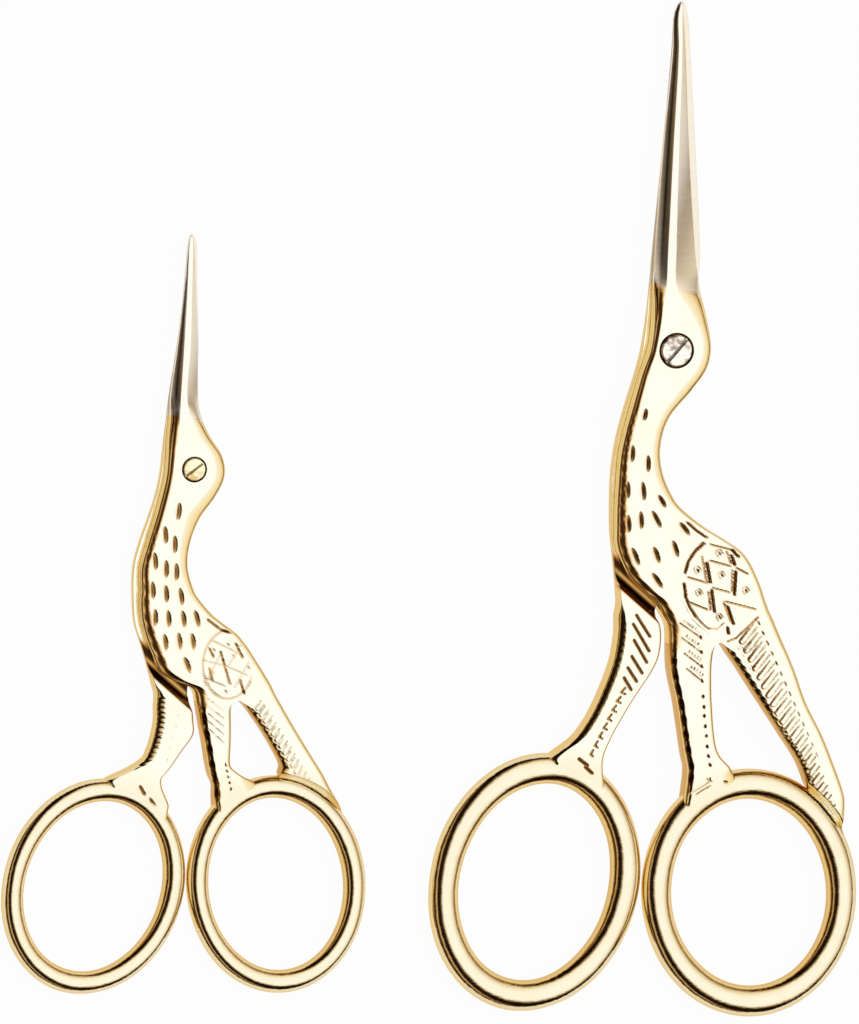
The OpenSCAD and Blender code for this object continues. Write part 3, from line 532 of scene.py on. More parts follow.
def large_front_ornament(x, y):
    """Feathers, medallion, hatched leg and tail of the large pair."""
    chase = Chasing(x, y)
    feathers = ((-4.2, -7.8, 1.6, -12), (-5.8, -12.6, 2.2, -3), (-3.8, -13.9, 2.2, 0),
                (-6.4, -17.1, 2.3, 0), (-4.4, -17.3, 2.5, 5), (-2, -18.7, 1.9, 30),
                (-6.3, -21.3, 2.4, 3), (-4.7, -20.9, 2.4, 3), (-2.7, -20.9, 2.6, 27),
                (0.9, -22.2, 2.2, 38), (-5.4, -25.4, 2.6, 22), (-2.7, -25.3, 2.4, 20),
                (-0.3, -24.6, 2.4, 18), (-2.6, -28.5, 2.5, 34))
    for px, py, length, lean in feathers:
        chase.dimple((px, py), length, 1.05, lean, 0.14)
    bars = ((3.87, -26.4, 4.3, -28.8), (4.5, -29.8, 4.83, -32.4), (7.05, -25.6, 7.41, -26.7),
            (7.54, -27.6, 7.41, -30.4), (6.52, -31.9, 7.05, -33.4), (7.05, -33.4, 7.27, -34),
            (6.52, -34.5, 6.63, -35.2))
    chase.strokes(bars, 0.4, 0.24)
    rim = ((3.55, -23.9), (2.4, -24.9), (1.54, -26.1), (1.11, -27.5), (1, -28.9), (1.22, -30.6),
           (1.64, -31.7), (2.49, -33), (3.3, -33.9), (4, -34.5), (5.2, -34.6), (6, -33.9))
    chase.path(rim[:4], 0.36, 0.22)
    chase.path(rim[4:8], 0.36, 0.22)
    chase.path(rim[7:], 0.26, 0.12)
    shoulder = ((4.3, -24.1), (6.1, -24.6), (7.16, -24.9), (7.9, -25.7))
    chase.path(shoulder[:3], 0.26, 0.14)
    chase.path(shoulder[2:], 0.4, 0.24)
    lattice = ((3.23, -25.5, 3.77, -28.7), (1.43, -28.1, 3.98, -28.9), (4.6, -29.5, 6.74, -30.1),
               (7.1, -27.3, 7.05, -30), (1.64, -31.2, 3.98, -32.2), (4.05, -30, 4.3, -32.2),
               (6.1, -31.2, 10.1, -32.3), (6, -31.3, 6.9, -33.7), (7.6, -27.1, 9.07, -27.9),
               (4.2, -26.1, 6.9, -26.9), (6.4, -25, 6.9, -26.6))
    chase.strokes(lattice, 0.3, 0.13)
    seeds = ((5.46, -25.25), (2.7, -27.3), (5.8, -28), (2.9, -30.1), (8.86, -30), (5.5, -33.2))
    for seed in seeds:
        ring, middle = Chasing(x, y), Chasing(x, y)
        ring.loop(seed, 1.1, 0.7, -55, 0.1, 0.24)
        middle.dimple(seed, 0.6, 0.4, 20, 0.16)
        chase.cut(ring.depth + middle.depth)
    chase.strokes(((1.45, -21.35, 2.5, -22.3), (2.5, -22.3, 3.8, -23.2)), 0.36, 0.2)
    for k in range(4):
        x1, y1, x2, y2 = 0.37 + 0.3 * k, -33.7 - 1.9 * k, 3.05 + 0.06 * k, -35.6 - 1.8 * k
        chase.strokes([(x1, y1, x2, y2)], 0.24, 0.12)
        chase.strokes([(x1 + 0.45, y1 + 0.25, x2, y2 + 0.5)], 0.2, 0.07)
        ticks = [(x1 + 0.6 + 0.36 * j, y1 + 0.12 - 0.25 * j) for j in range(5)]
        chase.strokes([(tx, ty, tx + 0.1, ty + 0.22) for tx, ty in ticks], 0.2, 0.12)
        chase.dimple((x2, y2), 0.5, 0.42, 20, 0.22)
    dots = ((3.34, -42.9), (3.45, -44.2), (3.5, -45.3), (3.62, -46.6), (3.77, -47.8), (3.87, -49.1),
            (4.04, -50.3), (4.25, -51.4))
    for dot in dots:
        chase.dimple(dot, 0.42, 0.48, 0, 0.24)
    chase.strokes(((2.07, -54.7, 3.98, -53.7), (2.5, -55, 4.3, -54), (3.9, -53.1, 4.5, -53.5),
                   (4.3, -53, 4.1, -53.6)), 0.24, 0.12)
    chase.dimple((6.2, -53.6), 0.5, 0.42, 40, 0.22)
    chase.path(((6.5, -36.2), (7.6, -35.8), (10.4, -33.3)), 0.3, 0.15)
    count = 20
    for k in range(count):
        s = k / (count - 1)
        place, depth = (9.2 + 10.5 * s, -35.3 - 21.7 * s), 0.12 + 0.05 * (2 * s - 1) ** 2
        chase.loop(place, 3.1 - 1.6 * s ** 2, 0.64, 50, depth, 0.22, 0.45)
    for k in range(14):
        tx, ty = 10.4 + 0.57 * k, -33.8 - 1.27 * k
        chase.strokes([(tx, ty, tx + 0.18, ty - 0.42)], 0.24, 0.14 - 0.006 * k)
    for k in range(4):
        chase.loop((8.05 + 0.5 * k, -37.0 - 0.85 * k), 0.6, 0.4, -20, 0.06, 0.18)
    cord = ((3.2, -23.6), (2, -24.8), (0.9, -26.5), (0.54, -28.9), (1, -31), (2.07, -33.1),
            (3.1, -34.1), (4.19, -34.9))
    raised = Chasing(x, y)
    raised.path(cord, 0.5, 0.08)
    return chase.depth - raised.depth


def small_front_ornament(x, y):
    """Feathers and the fainter medallion, hatching and tail marks of the small pair."""
    chase = Chasing(x, y)
    feathers = ((-2.2, -5.1, -6), (-3.9, -8, 4), (-2.7, -9.2, 0), (-5.2, -11.2, 5), (-3.8, -12.2, 0),
                (-2.5, -12.6, 0), (-5.5, -14.8, 3), (-3.8, -15.3, 3), (-1.9, -15.7, 8),
                (-5.2, -18.2, 0), (-3.5, -18.4, 5), (-1.6, -18.5, 8), (0.1, -18.5, 15),
                (-3.9, -21.3, 8), (-2.1, -21.2, 8), (-0.4, -21.3, 8), (-1.1, -24.2, 22))
    for px, py, lean in feathers:
        chase.dimple((px, py), 2.35, 1.15, lean, 0.12)
    bars = ((3.3, -22.6, 4.5, -26.6), (5.8, -26.2, 6.3, -27.9), (5.2, -21.6, 6.1, -23.4),
            (1.9, -22.2, 2.4, -23.2), (1.9, -24.6, 2.3, -26.2))
    chase.strokes(bars, 0.34, 0.13)
    lattice = ((2.3, -21.2, 5.9, -23), (1.2, -23.6, 3.4, -24.2), (3.6, -24.2, 6.7, -25.6),
               (1.4, -25.8, 3.9, -26.9), (5.9, -21.8, 4.4, -24.2), (3.3, -22.9, 1.8, -25.7),
               (6.9, -24, 5.1, -27))
    chase.strokes(lattice, 0.3, 0.06)
    seeds = ((4.2, -21.8), (2.4, -22.4), (4.9, -23.2), (2.2, -25.1), (6.8, -24.7), (3.9, -27.6))
    for seed in seeds:
        chase.dimple(seed, 0.75, 0.5, 40, 0.06)
    chase.strokes(((1.7, -18.6, 3.2, -19.8), (3.2, -19.8, 4.5, -20.3)), 0.36, 0.16)
    for k in range(5):
        height = -28.2 - 1.0 * k
        chase.strokes([(1.5 + 0.1 * k, height, 3.7, height - 1.7)], 0.26, 0.07)
    for k in range(5):
        chase.dimple((3.9 + 0.16 * k, -36.6 - 0.75 * k), 0.4, 0.38, 0, 0.13)
    for k in range(14):
        s = k / 13
        chase.loop((8.3 + 6.3 * s, -29.4 - 10.3 * s), 1.5, 0.6, 50 + 15 * s, 0.08, 0.26)
    relief = 0.55 * medallion(x, y, (4.3, -24.2), 3.6, 4.6, 0.5, 0.04) * smooth((7.6 - x) / 0.6)
    return chase.depth + relief


def large_back_ornament(x, y):
    """Hatching down the large pair's hind leg."""
    chase = Chasing(x, y)
    lines = ((-5.1, -32.6, -3.4, -35.3), (-5.5, -33.7, -3.5, -37.1), (-5.4, -35.7, -3.8, -38.5),
             (-5.7, -37.7, -4.4, -39.8), (-6.2, -39.1, -5.1, -40.8), (-6.7, -40.3, -5.8, -41.8))
    chase.strokes(lines, 0.4, 0.2)
    for k in range(8):
        s = k / 7
        tx, ty, arm = -7.1 - 3.9 * s, -42.1 - 7.6 * s, 0.55 - 0.2 * s
        arms = (tx, ty, tx + arm, ty + 0.55), (tx, ty, tx + arm, ty - 0.25)
        chase.strokes(arms, 0.3, 0.15)
    chase.strokes(((-12.4, -50.2, -11.4, -51), (-11.6, -51.2, -10.8, -52)), 0.5, 0.2)
    return chase.depth


def small_back_ornament(x, y):
    """Faint row of dots down the small pair's hind leg, and two marks at its foot."""
    chase = Chasing(x, y)
    for k in range(5):
        chase.dimple((-2.1 - 0.35 * k, -30.3 - 1.35 * k), 0.3, 0.25, 0, 0.06)
    chase.strokes(((-6.9, -39, -6.4, -39.9), (-5.6, -40.6, -5.2, -41.2)), 0.45, 0.18)
    return chase.depth


ORNAMENT = {"large_front": large_front_ornament, "small_front": small_front_ornament,
            "large_back": large_back_ornament, "small_back": small_back_ornament}


def place_rows(pair, stops):
    """Heights of the rows from the tip down: stops are (down to this height, spacing)."""
    rows = [pair["blade"] - TIP_RADIUS * (1 - np.cos(np.linspace(0.02, np.pi / 2, 8)))]
    top = rows[0][-1]
    for bottom, spacing in stops:
        count = max(int(math.ceil((top - bottom) / spacing)), 1)
        rows.append(np.linspace(top, bottom, count + 1)[1:])
        top = bottom
    return np.concatenate(rows)


def carve(pair, side, x, y, z, on_top):
    """Cuts the ornament into the upper face. Gives the new heights and the painted shade, which grows
    with a cut's depth.
    """
    depth = ORNAMENT[pair["name"] + "_" + side](x, y) * smooth(on_top * 1.6)
    depth = depth * smooth((pair["blade_root"] - 6 - y) / 2)
    return z - depth, np.clip((depth - CUT_DARK_FROM) / CUT_DARK_SPAN, 0, 1)


def sink_screw(x, y, z, carved, on_top, radius, spacing):
    """Sinks the screw's recess: points near its circle move onto it, and those inside drop and are
    painted fully dark as shade.
    """
    reach = np.hypot(x, y) + TINY
    flat = on_top > 0.9
    near = flat & (np.abs(reach - radius) < 0.55 * spacing)
    x = np.where(near, x * radius / reach, x)
    y = np.where(near, y * radius / reach, y)
    inside = flat & (reach < radius) & ~near
    return x, y, z - RECESS_DEPTH * inside, np.where(inside, 1.0, carved)


def edge_groove(pair, y, inset):
    """A groove chased just inside the left edge of the body and the fore leg, along which a dark line
    is painted as a reflection. It widens down the body and draws in again on the leg. Gives its depth
    and the painted dark line."""
    down = smooth((-6 - y) / (-8 - pair["limbs_from"]))
    leg = smooth((pair["limbs_from"] + 1 - y) / 5)
    head = smooth(y / pair["blade_root"])
    wide = 0.27 + 0.22 * down - 0.2 * leg + 0.06 * np.sin(3.4 * y) * down + 0.08 * head
    line = np.clip(1 - ((inset - 0.5 - 0.3 * down + 0.32 * leg - 0.3 * head) / wide) ** 2, 0, 1)
    line = line * smooth((pair["blade_root"] + 1.5 - y) / 3)
    return (0.05 + 0.07 * down) * line * (1 - head), smooth(line * 1.6)


def spine_reflection(ridge, width, ground):
    """Painted reflection on a blade's spine bevel: a darker stretch. ridge is the way out from its
    inner edge; a black line lies half-way and reaches the whole bevel at the tip."""
    place = 0.6 * np.minimum(width / 1.2, 1)
    line = np.exp(-((ridge - place) / 0.19) ** 2)
    brown = 0.55 * smooth((place - ridge) / 0.1) * smooth(ridge / 0.2)
    return np.maximum(line, brown) * ground * (ridge > 0) * (ridge < width - 0.08)


def follow_ring(pair, name, ring, x, y):
    """Bends a limb's last rows to its ring's middle line. y is one height a row."""
    run = BEND_RUN * pair["half"] / LARGE["half"]
    angle = np.linspace(0.02, np.pi - 0.02, 200)
    line_x, line_y = ring_point(pair, ring, angle, 0)
    order = np.argsort(line_x)
    share = smooth((run - (y - y[-1])) / run)[:, None]
    target = np.interp(x, line_x[order], line_y[order])
    bent = y[:, None] + share * (target - y[-1])
    return x + limb_middle(pair, name, ring, bent) - limb_middle(pair, name, ring, y)[:, None], bent


def ring_highlight(pair, ring, x, y):
    """Share of its painted highlight that a limb keeps near its ring."""
    near_ring = smooth(1 - (ring_distance(pair, ring, x, y) - 0.5) / 4)
    return 1 - (1 - RING_HIGHLIGHT) * near_ring


def shade_walls(on_top, left, right, columns):
    """Paints shade in the darker wall gold on a section's side walls, by giving them negative values.
    """
    on_top = on_top.copy()
    step, turn = CORNER_STEPS + 1, upper_count(columns)
    on_top[:, 0] = on_top[:, -step:] = -left
    on_top[:, turn - 1] = on_top[:, turn:turn + step] = -right
    return on_top


def limb_part(skin, pair, name, ring, side, y, edges, corners, low, high, columns, from_outside):
    """A leg or the tail: sections from the crotch down, bent to the ring and let into it."""
    left, right = edges
    for corner, edge in zip(corners[:2], edges):
        closing = smooth(1 - ring_distance(pair, ring, edge, y) / 2.4)
        corner.width = corner.width + 1.1 * closing
    x, z, on_top = cross_sections(left, right, low, high, corners, np.linspace(0, 1, columns + 1),
                                  np.linspace(0, 1, BOTTOM_COLUMNS + 1))
    x, y = follow_ring(pair, name, ring, x, y)
    if name == "front_limb":
        groove, dark = edge_groove(pair, y, x - left[:, None])
        z = z - groove * (on_top > 0)
    clear = ring_distance(pair, ring, x, y) - (pair["band"] / 2 if from_outside else 0.0)
    z, carved = carve(pair, side, x, y, z, on_top * smooth((clear - 0.2) / 0.6))
    # The painted dark reflection along the fore leg's groove.
    if name == "front_limb":
        away = ring_distance(pair, ring, x, y) - pair["band"] / 2
        carved = np.maximum(carved, dark * (on_top > 0) * smooth((away + 0.1) / 0.8))
    upper = np.arange(x.shape[1]) < upper_count(columns)
    z = limb_dive(pair, ring, x, y, z, upper, from_outside)
    x, y, z = close_end(x, y, z, "last")
    carved = np.vstack([carved, carved[-1:] * 0])
    on_top = np.vstack([on_top, on_top[-1:]])
    # Painted highlight on the upper faces, weaker near the ring, and painted shade on the side walls.
    on_top = on_top * ring_highlight(pair, ring, x, y)
    wall_shade = (1.0, 0.6) if name == "front_limb" else (1.0, 0.0)
    skin.add(x, y, z, carved, shade_walls(on_top, *wall_shade, columns))


def finger_ring(skin, pair, ring, around=224, across=30):
    """Finger ring: a rounded section, swollen a little here and there as hand polishing leaves it,
    carried round the leaning ellipse."""
    theta = np.linspace(0, 2 * np.pi, around, endpoint=False)[:, None]
    phi = np.linspace(0, 2 * np.pi, across, endpoint=False)[None, :]
    c, s = np.cos(phi), np.sin(phi)
    swell = 1 + 0.012 * np.sin(3 * theta + 1) + 0.008 * np.sin(7 * theta)
    out = pair["band"] / 2 * np.sign(c) * np.abs(c) ** (2 / RING_POWER) * swell
    middle = total(pair) / 2
    z = middle + middle * 0.995 * np.sign(s) * np.abs(s) ** (2 / RING_POWER) + 0 * theta
    x, y = ring_point(pair, ring, theta, out)
    close = lambda v: np.vstack([v, v[:1]])
    # Painted highlight on the ring's top and painted shade on its inner side.
    painted_light = RING_HIGHLIGHT * np.abs(s) ** 1.5 - 0.6 * np.clip(-c, 0, 1) ** 4 + 0 * theta
    skin.add(close(x), close(y), close(z), 0.0, close(painted_light), flip=True)


def scallop(y, pitch, depth):
    """Small bites that the chasing punch leaves along an edge."""
    return depth * np.abs(np.sin(np.pi * y / pitch)) ** 0.7


def front_half(pair):
    """The half on top: blade, head, body, fore leg, tail and its ring. At the crotch the plate's
    columns part at the seam, left ones for the leg and right ones for the tail."""
    skin = Skin()
    inner = total(pair) - pair["half"]
    crotch, radius = pair["crotch"], pair["crotch_radius"]
    y = place_rows(pair, ((pair["blade_root"], 0.8), (2.6, 0.3), (-2.6, HEAD_SPACING),
                          (crotch, BODY_SPACING)))
    into_limbs = smooth((pair["limbs_from"] - y) / (pair["limbs_from"] - crotch))
    plate = plate_lines(pair, "front", y)
    leg = limb_lines(pair, "front_limb", "front_ring", y)
    tail = limb_lines(pair, "tail", "front_ring", y)
    left = plate[0] + (leg[0] - plate[0]) * into_limbs
    right = plate[1] + (tail[1] - plate[1]) * into_limbs
    left, right, thick, rounded = narrow_tip(pair, y, left, right)
    spine, edge = wall_heights(pair, y, thick)
    ground = ground_share(pair, y)
    spine = spine + 0.16 * thick * ground
    low = inner * (1 - smooth((pair["full_height_from"] - y) / 0.6))
    foot = BROKEN_EDGE + LIMB_ROUND * (1 - low / inner)
    wavy = scallop(y, 1.25, 0.16) * smooth((-6 - y) / 3)
    soft_left = 0.45 * smooth((2 - y) / 6) + 0.35 * smooth((-12 - y) / 10)
    corners = [Corner((curve(pair["front_left"], y) + soft_left) * rounded + wavy, thick - spine,
                      1 - ground, SPINE_HOLLOW * ground),
               Corner(curve(pair["front_right"], y) * rounded, thick - edge, 1 - ground,
                      EDGE_HOLLOW * ground),
               Corner(foot * rounded, foot * rounded), Corner(foot * rounded, foot * rounded)]
    gap_left = limb_lines(pair, "front_limb", "front_ring", crotch - radius)[1]
    gap_right = limb_lines(pair, "tail", "front_ring", crotch - radius)[0]
    apex = (gap_left + gap_right) / 2
    face = left[-1] + corners[0].width[-1], right[-1] - corners[1].width[-1]
    seam = (apex - face[0]) / (face[1] - face[0])
    under = (apex - left[-1] - foot[-1]) / (right[-1] - left[-1] - 2 * foot[-1])
    leg_columns, tail_columns = pair["leg_columns"], pair["tail_columns"]
    split = lambda at, a, b: np.concatenate(
        [np.linspace(0, at, a + 1), np.linspace(at, 1, b + 1)[1:]])
    x, z, on_top = cross_sections(left, right, low, inner + thick, corners,
                                  split(seam, leg_columns, tail_columns),
                                  split(under, BOTTOM_COLUMNS, BOTTOM_COLUMNS))
    high = inner + thick[-1]
    y2 = np.broadcast_to(y[:, None], x.shape)
    groove, dark = edge_groove(pair, y2, x - left[:, None])
    outside = on_top > 0
    z, carved = carve(pair, "front", x, y2, z - groove * outside, on_top)
    # A painted dark reflection along the groove inside the left edge.
    carved = np.maximum(carved, dark * outside)
    bevel = corners[0].width[:, None]
    # A painted dark reflection along the blade's spine bevel.
    spine_line = spine_reflection(left[:, None] + bevel - x, bevel, ground[:, None])
    carved = np.maximum(carved, outside * spine_line)
    x, y2, z, carved = sink_screw(x, y2, z, carved, on_top, pair["recess_radius"], HEAD_SPACING)
    # Upper faces carry the painted highlight; cuts and dark lines carry the painted shade.
    skin.add(*close_end(x, y2, z, "first"), np.vstack([carved[:1], carved]),
             np.vstack([on_top[:1], on_top]))
    start = crotch - radius * (1 - np.cos(np.linspace(0, np.pi / 2, 9)))
    limbs = (("front_limb", leg_columns, 0.14, False), ("tail", tail_columns, 0.105, True))
    for name, columns, spacing, from_outside in limbs:
        end = ring_point(pair, "front_ring", math.radians(pair[name][1]), 0)[1]
        count = int((start[-1] - end) / spacing)
        y = np.concatenate([start, np.linspace(start[-1], end, count)[1:]])
        opening = np.sqrt(np.clip(1 - (1 - (crotch - y) / radius) ** 2, 0, 1))
        opening = np.where(y < crotch - radius, 1.0, opening)
        lines = limb_lines(pair, name, "front_ring", y)
        soft = smooth((crotch - y) / 1.5)
        wavy = scallop(y, 1.0, 0.26) * soft
        inner_foot = Corner(LIMB_ROUND * opening * soft, LIMB_ROUND * opening * soft)
        if name == "front_limb":
            edges = (lines[0] + (left[-1] - lines[0][0]) * (1 - soft),
                     apex + (lines[1] - apex) * opening)
            outer = Corner(corners[0].width[-1] * (1 - soft) + (0.62 * soft + wavy),
                           corners[0].drop[-1] * (1 - soft) + 0.8 * soft)
            inner_corner = Corner(0.5 * opening * soft, 0.5 * opening * soft)
            order = [outer, inner_corner, Corner(foot[-1], foot[-1]), inner_foot]
        else:
            edges = (apex + (lines[0] - apex) * opening,
                     lines[1] + (right[-1] - lines[1][0]) * (1 - soft))
            outer = Corner(corners[1].width[-1] * (1 - soft) + 0.7 * soft,
                           corners[1].drop[-1] * (1 - soft) + 0.6 * soft)
            inner_corner = Corner((0.6 * opening + wavy) * soft, 0.4 * opening * soft, 0.3)
            order = [inner_corner, outer, inner_foot, Corner(foot[-1], foot[-1])]
        limb_part(skin, pair, name, "front_ring", "front", y, edges, order, 0.0, high, columns,
                  from_outside)
    finger_ring(skin, pair, "front_ring")
    return skin


def back_half(pair):
    """The half underneath: blade, head, body, hind leg and its ring."""
    skin = Skin()
    inner = pair["half"] - FLAT_CUT
    end = ring_point(pair, "back_ring", math.radians(pair["back_limb"][1]), 0)[1]
    join_from, join_to = pair["leg_join"]
    y = place_rows(pair, ((pair["blade_root"], 0.6), (join_from + 3.5, 0.35), (end, 0.14)))
    plate = plate_lines(pair, "back", y)
    leg = limb_lines(pair, "back_limb", "back_ring", y)
    into_leg = smooth((join_from - y) / (join_from - join_to))
    left = plate[0] + (leg[0] - plate[0]) * into_leg
    right = np.where(y > join_to, plate[1], leg[1])
    left, right, thick, rounded = narrow_tip(pair, y, left, right)
    low = np.maximum(inner - thick, 0)
    thick = inner - low
    spine, edge = wall_heights(pair, y, thick)
    ground = ground_share(pair, y)
    lift = smooth((join_from + 0.5 - y) / 2.5)
    pitch, bite, first, last = pair["teeth"]
    teeth = scallop(y, pitch, bite) * smooth((first - y) / 0.8) * smooth((y - last) / 0.8)
    slope = lift * pair["half"] / LARGE["half"]
    broken = BROKEN_EDGE * rounded
    corners = [Corner(broken + 0.8 * slope + teeth, broken + 0.6 * slope, 1 - 0.6 * lift),
               Corner(broken + 0.3 * lift, broken + 0.34 * lift),
               Corner(curve(pair["back_left"], y) * rounded, thick - edge, 1 - ground,
                      BACK_HOLLOW * ground),
               Corner(curve(pair["back_right"], y) * rounded, thick - spine, 1 - ground)]
    columns = pair["leg_columns"] + 8
    x, z, on_top = cross_sections(left, right, low, inner, corners, np.linspace(0, 1, columns + 1),
                                  np.linspace(0, 1, 2 * BOTTOM_COLUMNS + 1))
    x, y2 = follow_ring(pair, "back_limb", "back_ring", x, y)
    start, finish = np.array(pair["step_from"]), np.array(pair["step_to"])
    way = (finish - start) / np.linalg.norm(finish - start)
    below = -((x - start[0]) * -way[1] + (y2 - start[1]) * way[0])
    upper = np.arange(x.shape[1]) < upper_count(columns)
    rise = smooth(below / pair["step_run"]) * (total(pair) - inner)
    z = z + rise * upper
    z, carved = carve(pair, "back", x, y2, z, on_top)
    # Painted shadow of the front half's body over the step and the strip before it, broken by two
    # lighter stripes of painted highlight.
    hollow = smooth((below + 2.0) / 0.7) * smooth((pair["step_run"] + 0.1 - below) / 0.35)
    upper_shine = np.exp(-((below + 0.35) / 0.2) ** 2)
    lower_shine = np.exp(-((below - 0.8) / 0.12) ** 2)
    stripes = 1 - 0.5 * upper_shine - 0.8 * lower_shine
    carved = np.maximum(carved, hollow * stripes * upper)
    z = limb_dive(pair, "back_ring", x, y2, z, upper, False)
    x, y2, z = close_end(*close_end(x, y2, z, "last"), "first")
    blade = np.concatenate([ground[:1], ground, ground[-1:]])[:, None]
    on_top = np.vstack([on_top[:1], on_top, on_top[-1:]])
    # Painted highlight on the upper faces, weaker on the blade and near the ring.
    on_top = on_top * (1 - 0.6 * blade) * ring_highlight(pair, "back_ring", x, y2)
    skin.add(x, y2, z, np.vstack([carved[:1], carved, carved[-1:] * 0]), on_top)
    finger_ring(skin, pair, "back_ring")
    return skin


class Socket:
    """An output in a shader tree. Arithmetic on it adds Math nodes."""

    def __init__(self, tree, output):
        self.tree, self.output = tree, output

    def _math(self, operation, first, second):
        return self.tree.node("Math", {"operation": operation}, {0: first, 1: second})

    def __add__(self, other):
        return self._math("ADD", self, other)

    def __sub__(self, other):
        return self._math("SUBTRACT", self, other)

    def __rsub__(self, other):
        return self._math("SUBTRACT", other, self)

    def __mul__(self, other):
        return self._math("MULTIPLY", self, other)

    def __pow__(self, other):
        return self._math("POWER", self, other)

    __radd__ = __add__

    def clamp(self):
        """The value held between 0 and 1."""
        return self.tree.node("Clamp", {}, {0: self})


class ShaderTree:
    """A material's or the world's nodes, made through one method."""

    def __init__(self, owner):
        owner.use_nodes = True
        self.tree = owner.node_tree
        self.tree.nodes.clear()

    def node(self, kind, settings=None, inputs=None, output=0):
        """Adds a node of that type, named without its prefix. Applies its settings, fills or links
        its sockets, and gives the named output."""
        made = self.tree.nodes.new("ShaderNode" + kind)
        for name, value in (settings or {}).items():
            if name == "stops":
                elements = made.color_ramp.elements
                for k, (place, colour) in enumerate(value):
                    stop = elements[k] if k < 2 else elements.new(place)
                    stop.position, stop.color = place, colour
            else:
                setattr(made, name, value)
        for name, value in (inputs or {}).items():
            if isinstance(value, Socket):
                self.tree.links.new(value.output, made.inputs[name])
            else:
                made.inputs[name].default_value = value
        return Socket(self, made.outputs[output]) if made.outputs else None

    def mix(self, share, first, second):
        """A colour between two others."""
        return self.node("Mix", {"data_type": "RGBA"}, {0: share, 6: first, 7: second}, 2)

    def attribute(self, name):
        """A named attribute of the mesh."""
        return self.node("Attribute", {"attribute_name": name}, {}, "Fac")

    def axis(self, vector, name):
        """One axis of a vector."""
        return self.node("SeparateXYZ", {}, {0: vector}, name)

    def noise(self, vector, scale, detail=3.0, roughness=0.55):
        """Soft noise over the coordinates."""
        return self.node("TexNoise", {}, {
            "Vector": vector, "Scale": scale, "Detail": detail, "Roughness": roughness})

    def stretched(self, vector, turn_degrees, stretch):
        """Coordinates turned about Z and drawn out, for brushed and ground marks."""
        return self.node("Mapping", {}, {
            "Vector": vector, "Rotation": (0, 0, math.radians(turn_degrees)), "Scale": stretch})


def rgba(colour, strength=1.0):
    """A colour with its alpha, made darker by a strength below 1."""
    return (colour[0] * strength, colour[1] * strength, colour[2] * strength, 1)


# How a metal's own colour holds at a glancing look, as on gold.
EDGE_TINT = (0.95, 0.8, 0.6, 1.0)


def metal_surface(tree, colour, roughness, height, bump):
    """The closing shader of every metal: a metallic surface with a bump."""
    normal = tree.node("Bump", {}, {"Strength": 1.0, "Distance": bump, "Height": height})
    surface = tree.node("BsdfPrincipled", {}, {
        "Base Color": colour, "Roughness": roughness, "Metallic": 1.0, "Normal": normal,
        "Specular Tint": EDGE_TINT})
    tree.node("OutputMaterial", {}, {"Surface": surface})


def plated_material(pair, colours):
    """Gold plate over the forging, with a painted highlight on the upper faces and painted shade on the
    walls, in the cuts and along dark lines, and bare ground steel on the blade."""
    material = bpy.data.materials.new(pair["name"] + " gold plate and ground steel")
    tree = ShaderTree(material)
    place = tree.node("TexCoord", {}, {}, "Object")
    carved = tree.attribute("carved")
    painted_light = tree.attribute("painted_light")
    along = tree.axis(place, "Y")
    across = tree.axis(place, "X")
    cloud = tree.noise(place, 260)
    fine = tree.noise(tree.stretched(place, 62, (900, 5200, 900)), 1.0, detail=2.0)
    # Painted highlight on the upper faces.
    gold = tree.mix(painted_light, rgba(colours.gold_wall), rgba(colours.gold_highlight))
    # Painted shade on the side walls, where the value is below 0.
    gold = tree.mix((painted_light * -1.0).clamp(), gold, rgba(colours.gold_shade))
    gold = tree.mix(((cloud - 0.45) * 1.6).clamp() * 0.3, gold, rgba(colours.gold_wall))
    # Painted shade in the cuts and along the painted dark lines, first darker gold, then near black.
    gold = tree.mix((carved * 2.0).clamp(), gold, rgba(colours.gold_shade))
    gold = tree.mix((carved * 2.0 - 1.0).clamp(), gold, rgba(colours.gold_cut_shade))
    grind = tree.noise(tree.stretched(place, -24, (160, 5600, 500)), 1.0, detail=2.5, roughness=0.65)
    grind_long = tree.noise(tree.stretched(place, 8, (90, 2100, 300)), 1.0, detail=1.5)
    marks = (grind * 0.7 + grind_long * 0.45 - 0.1).clamp()
    steel = tree.mix(marks, rgba(colours.steel_dark), rgba(colours.steel_bright))
    # Painted highlight on the blade's upper face.
    steel = tree.mix(painted_light ** 3.0, steel, rgba(colours.steel_ridge_highlight))
    # Painted shade in the cuts and along the painted dark lines.
    steel = tree.mix(carved, steel, rgba(colours.steel_dark, 0.06))
    pivot_x, pivot_y = pair["pivot"]
    above = along * (1 / MM) - pivot_y - pair["steel_from"]
    edge = above - (across * (1 / MM) - pivot_x) * pair["steel_slope"]
    bare = ((edge + (cloud - 0.5) * 1.6) * 2.2 + 0.5).clamp()
    colour = tree.mix(bare, gold, steel)
    gold_rough = 0.06 + (cloud * 0.05 + fine * 0.06) + carved * 0.12
    steel_rough = 0.24 + marks * 0.16
    roughness = gold_rough * (1 - bare) + steel_rough * bare
    height = fine * 0.10 * (1 - bare) + cloud * 0.9 * (1 - bare) + marks * 0.5 * bare
    metal_surface(tree, colour, roughness, height, bump=0.0001)
    return material


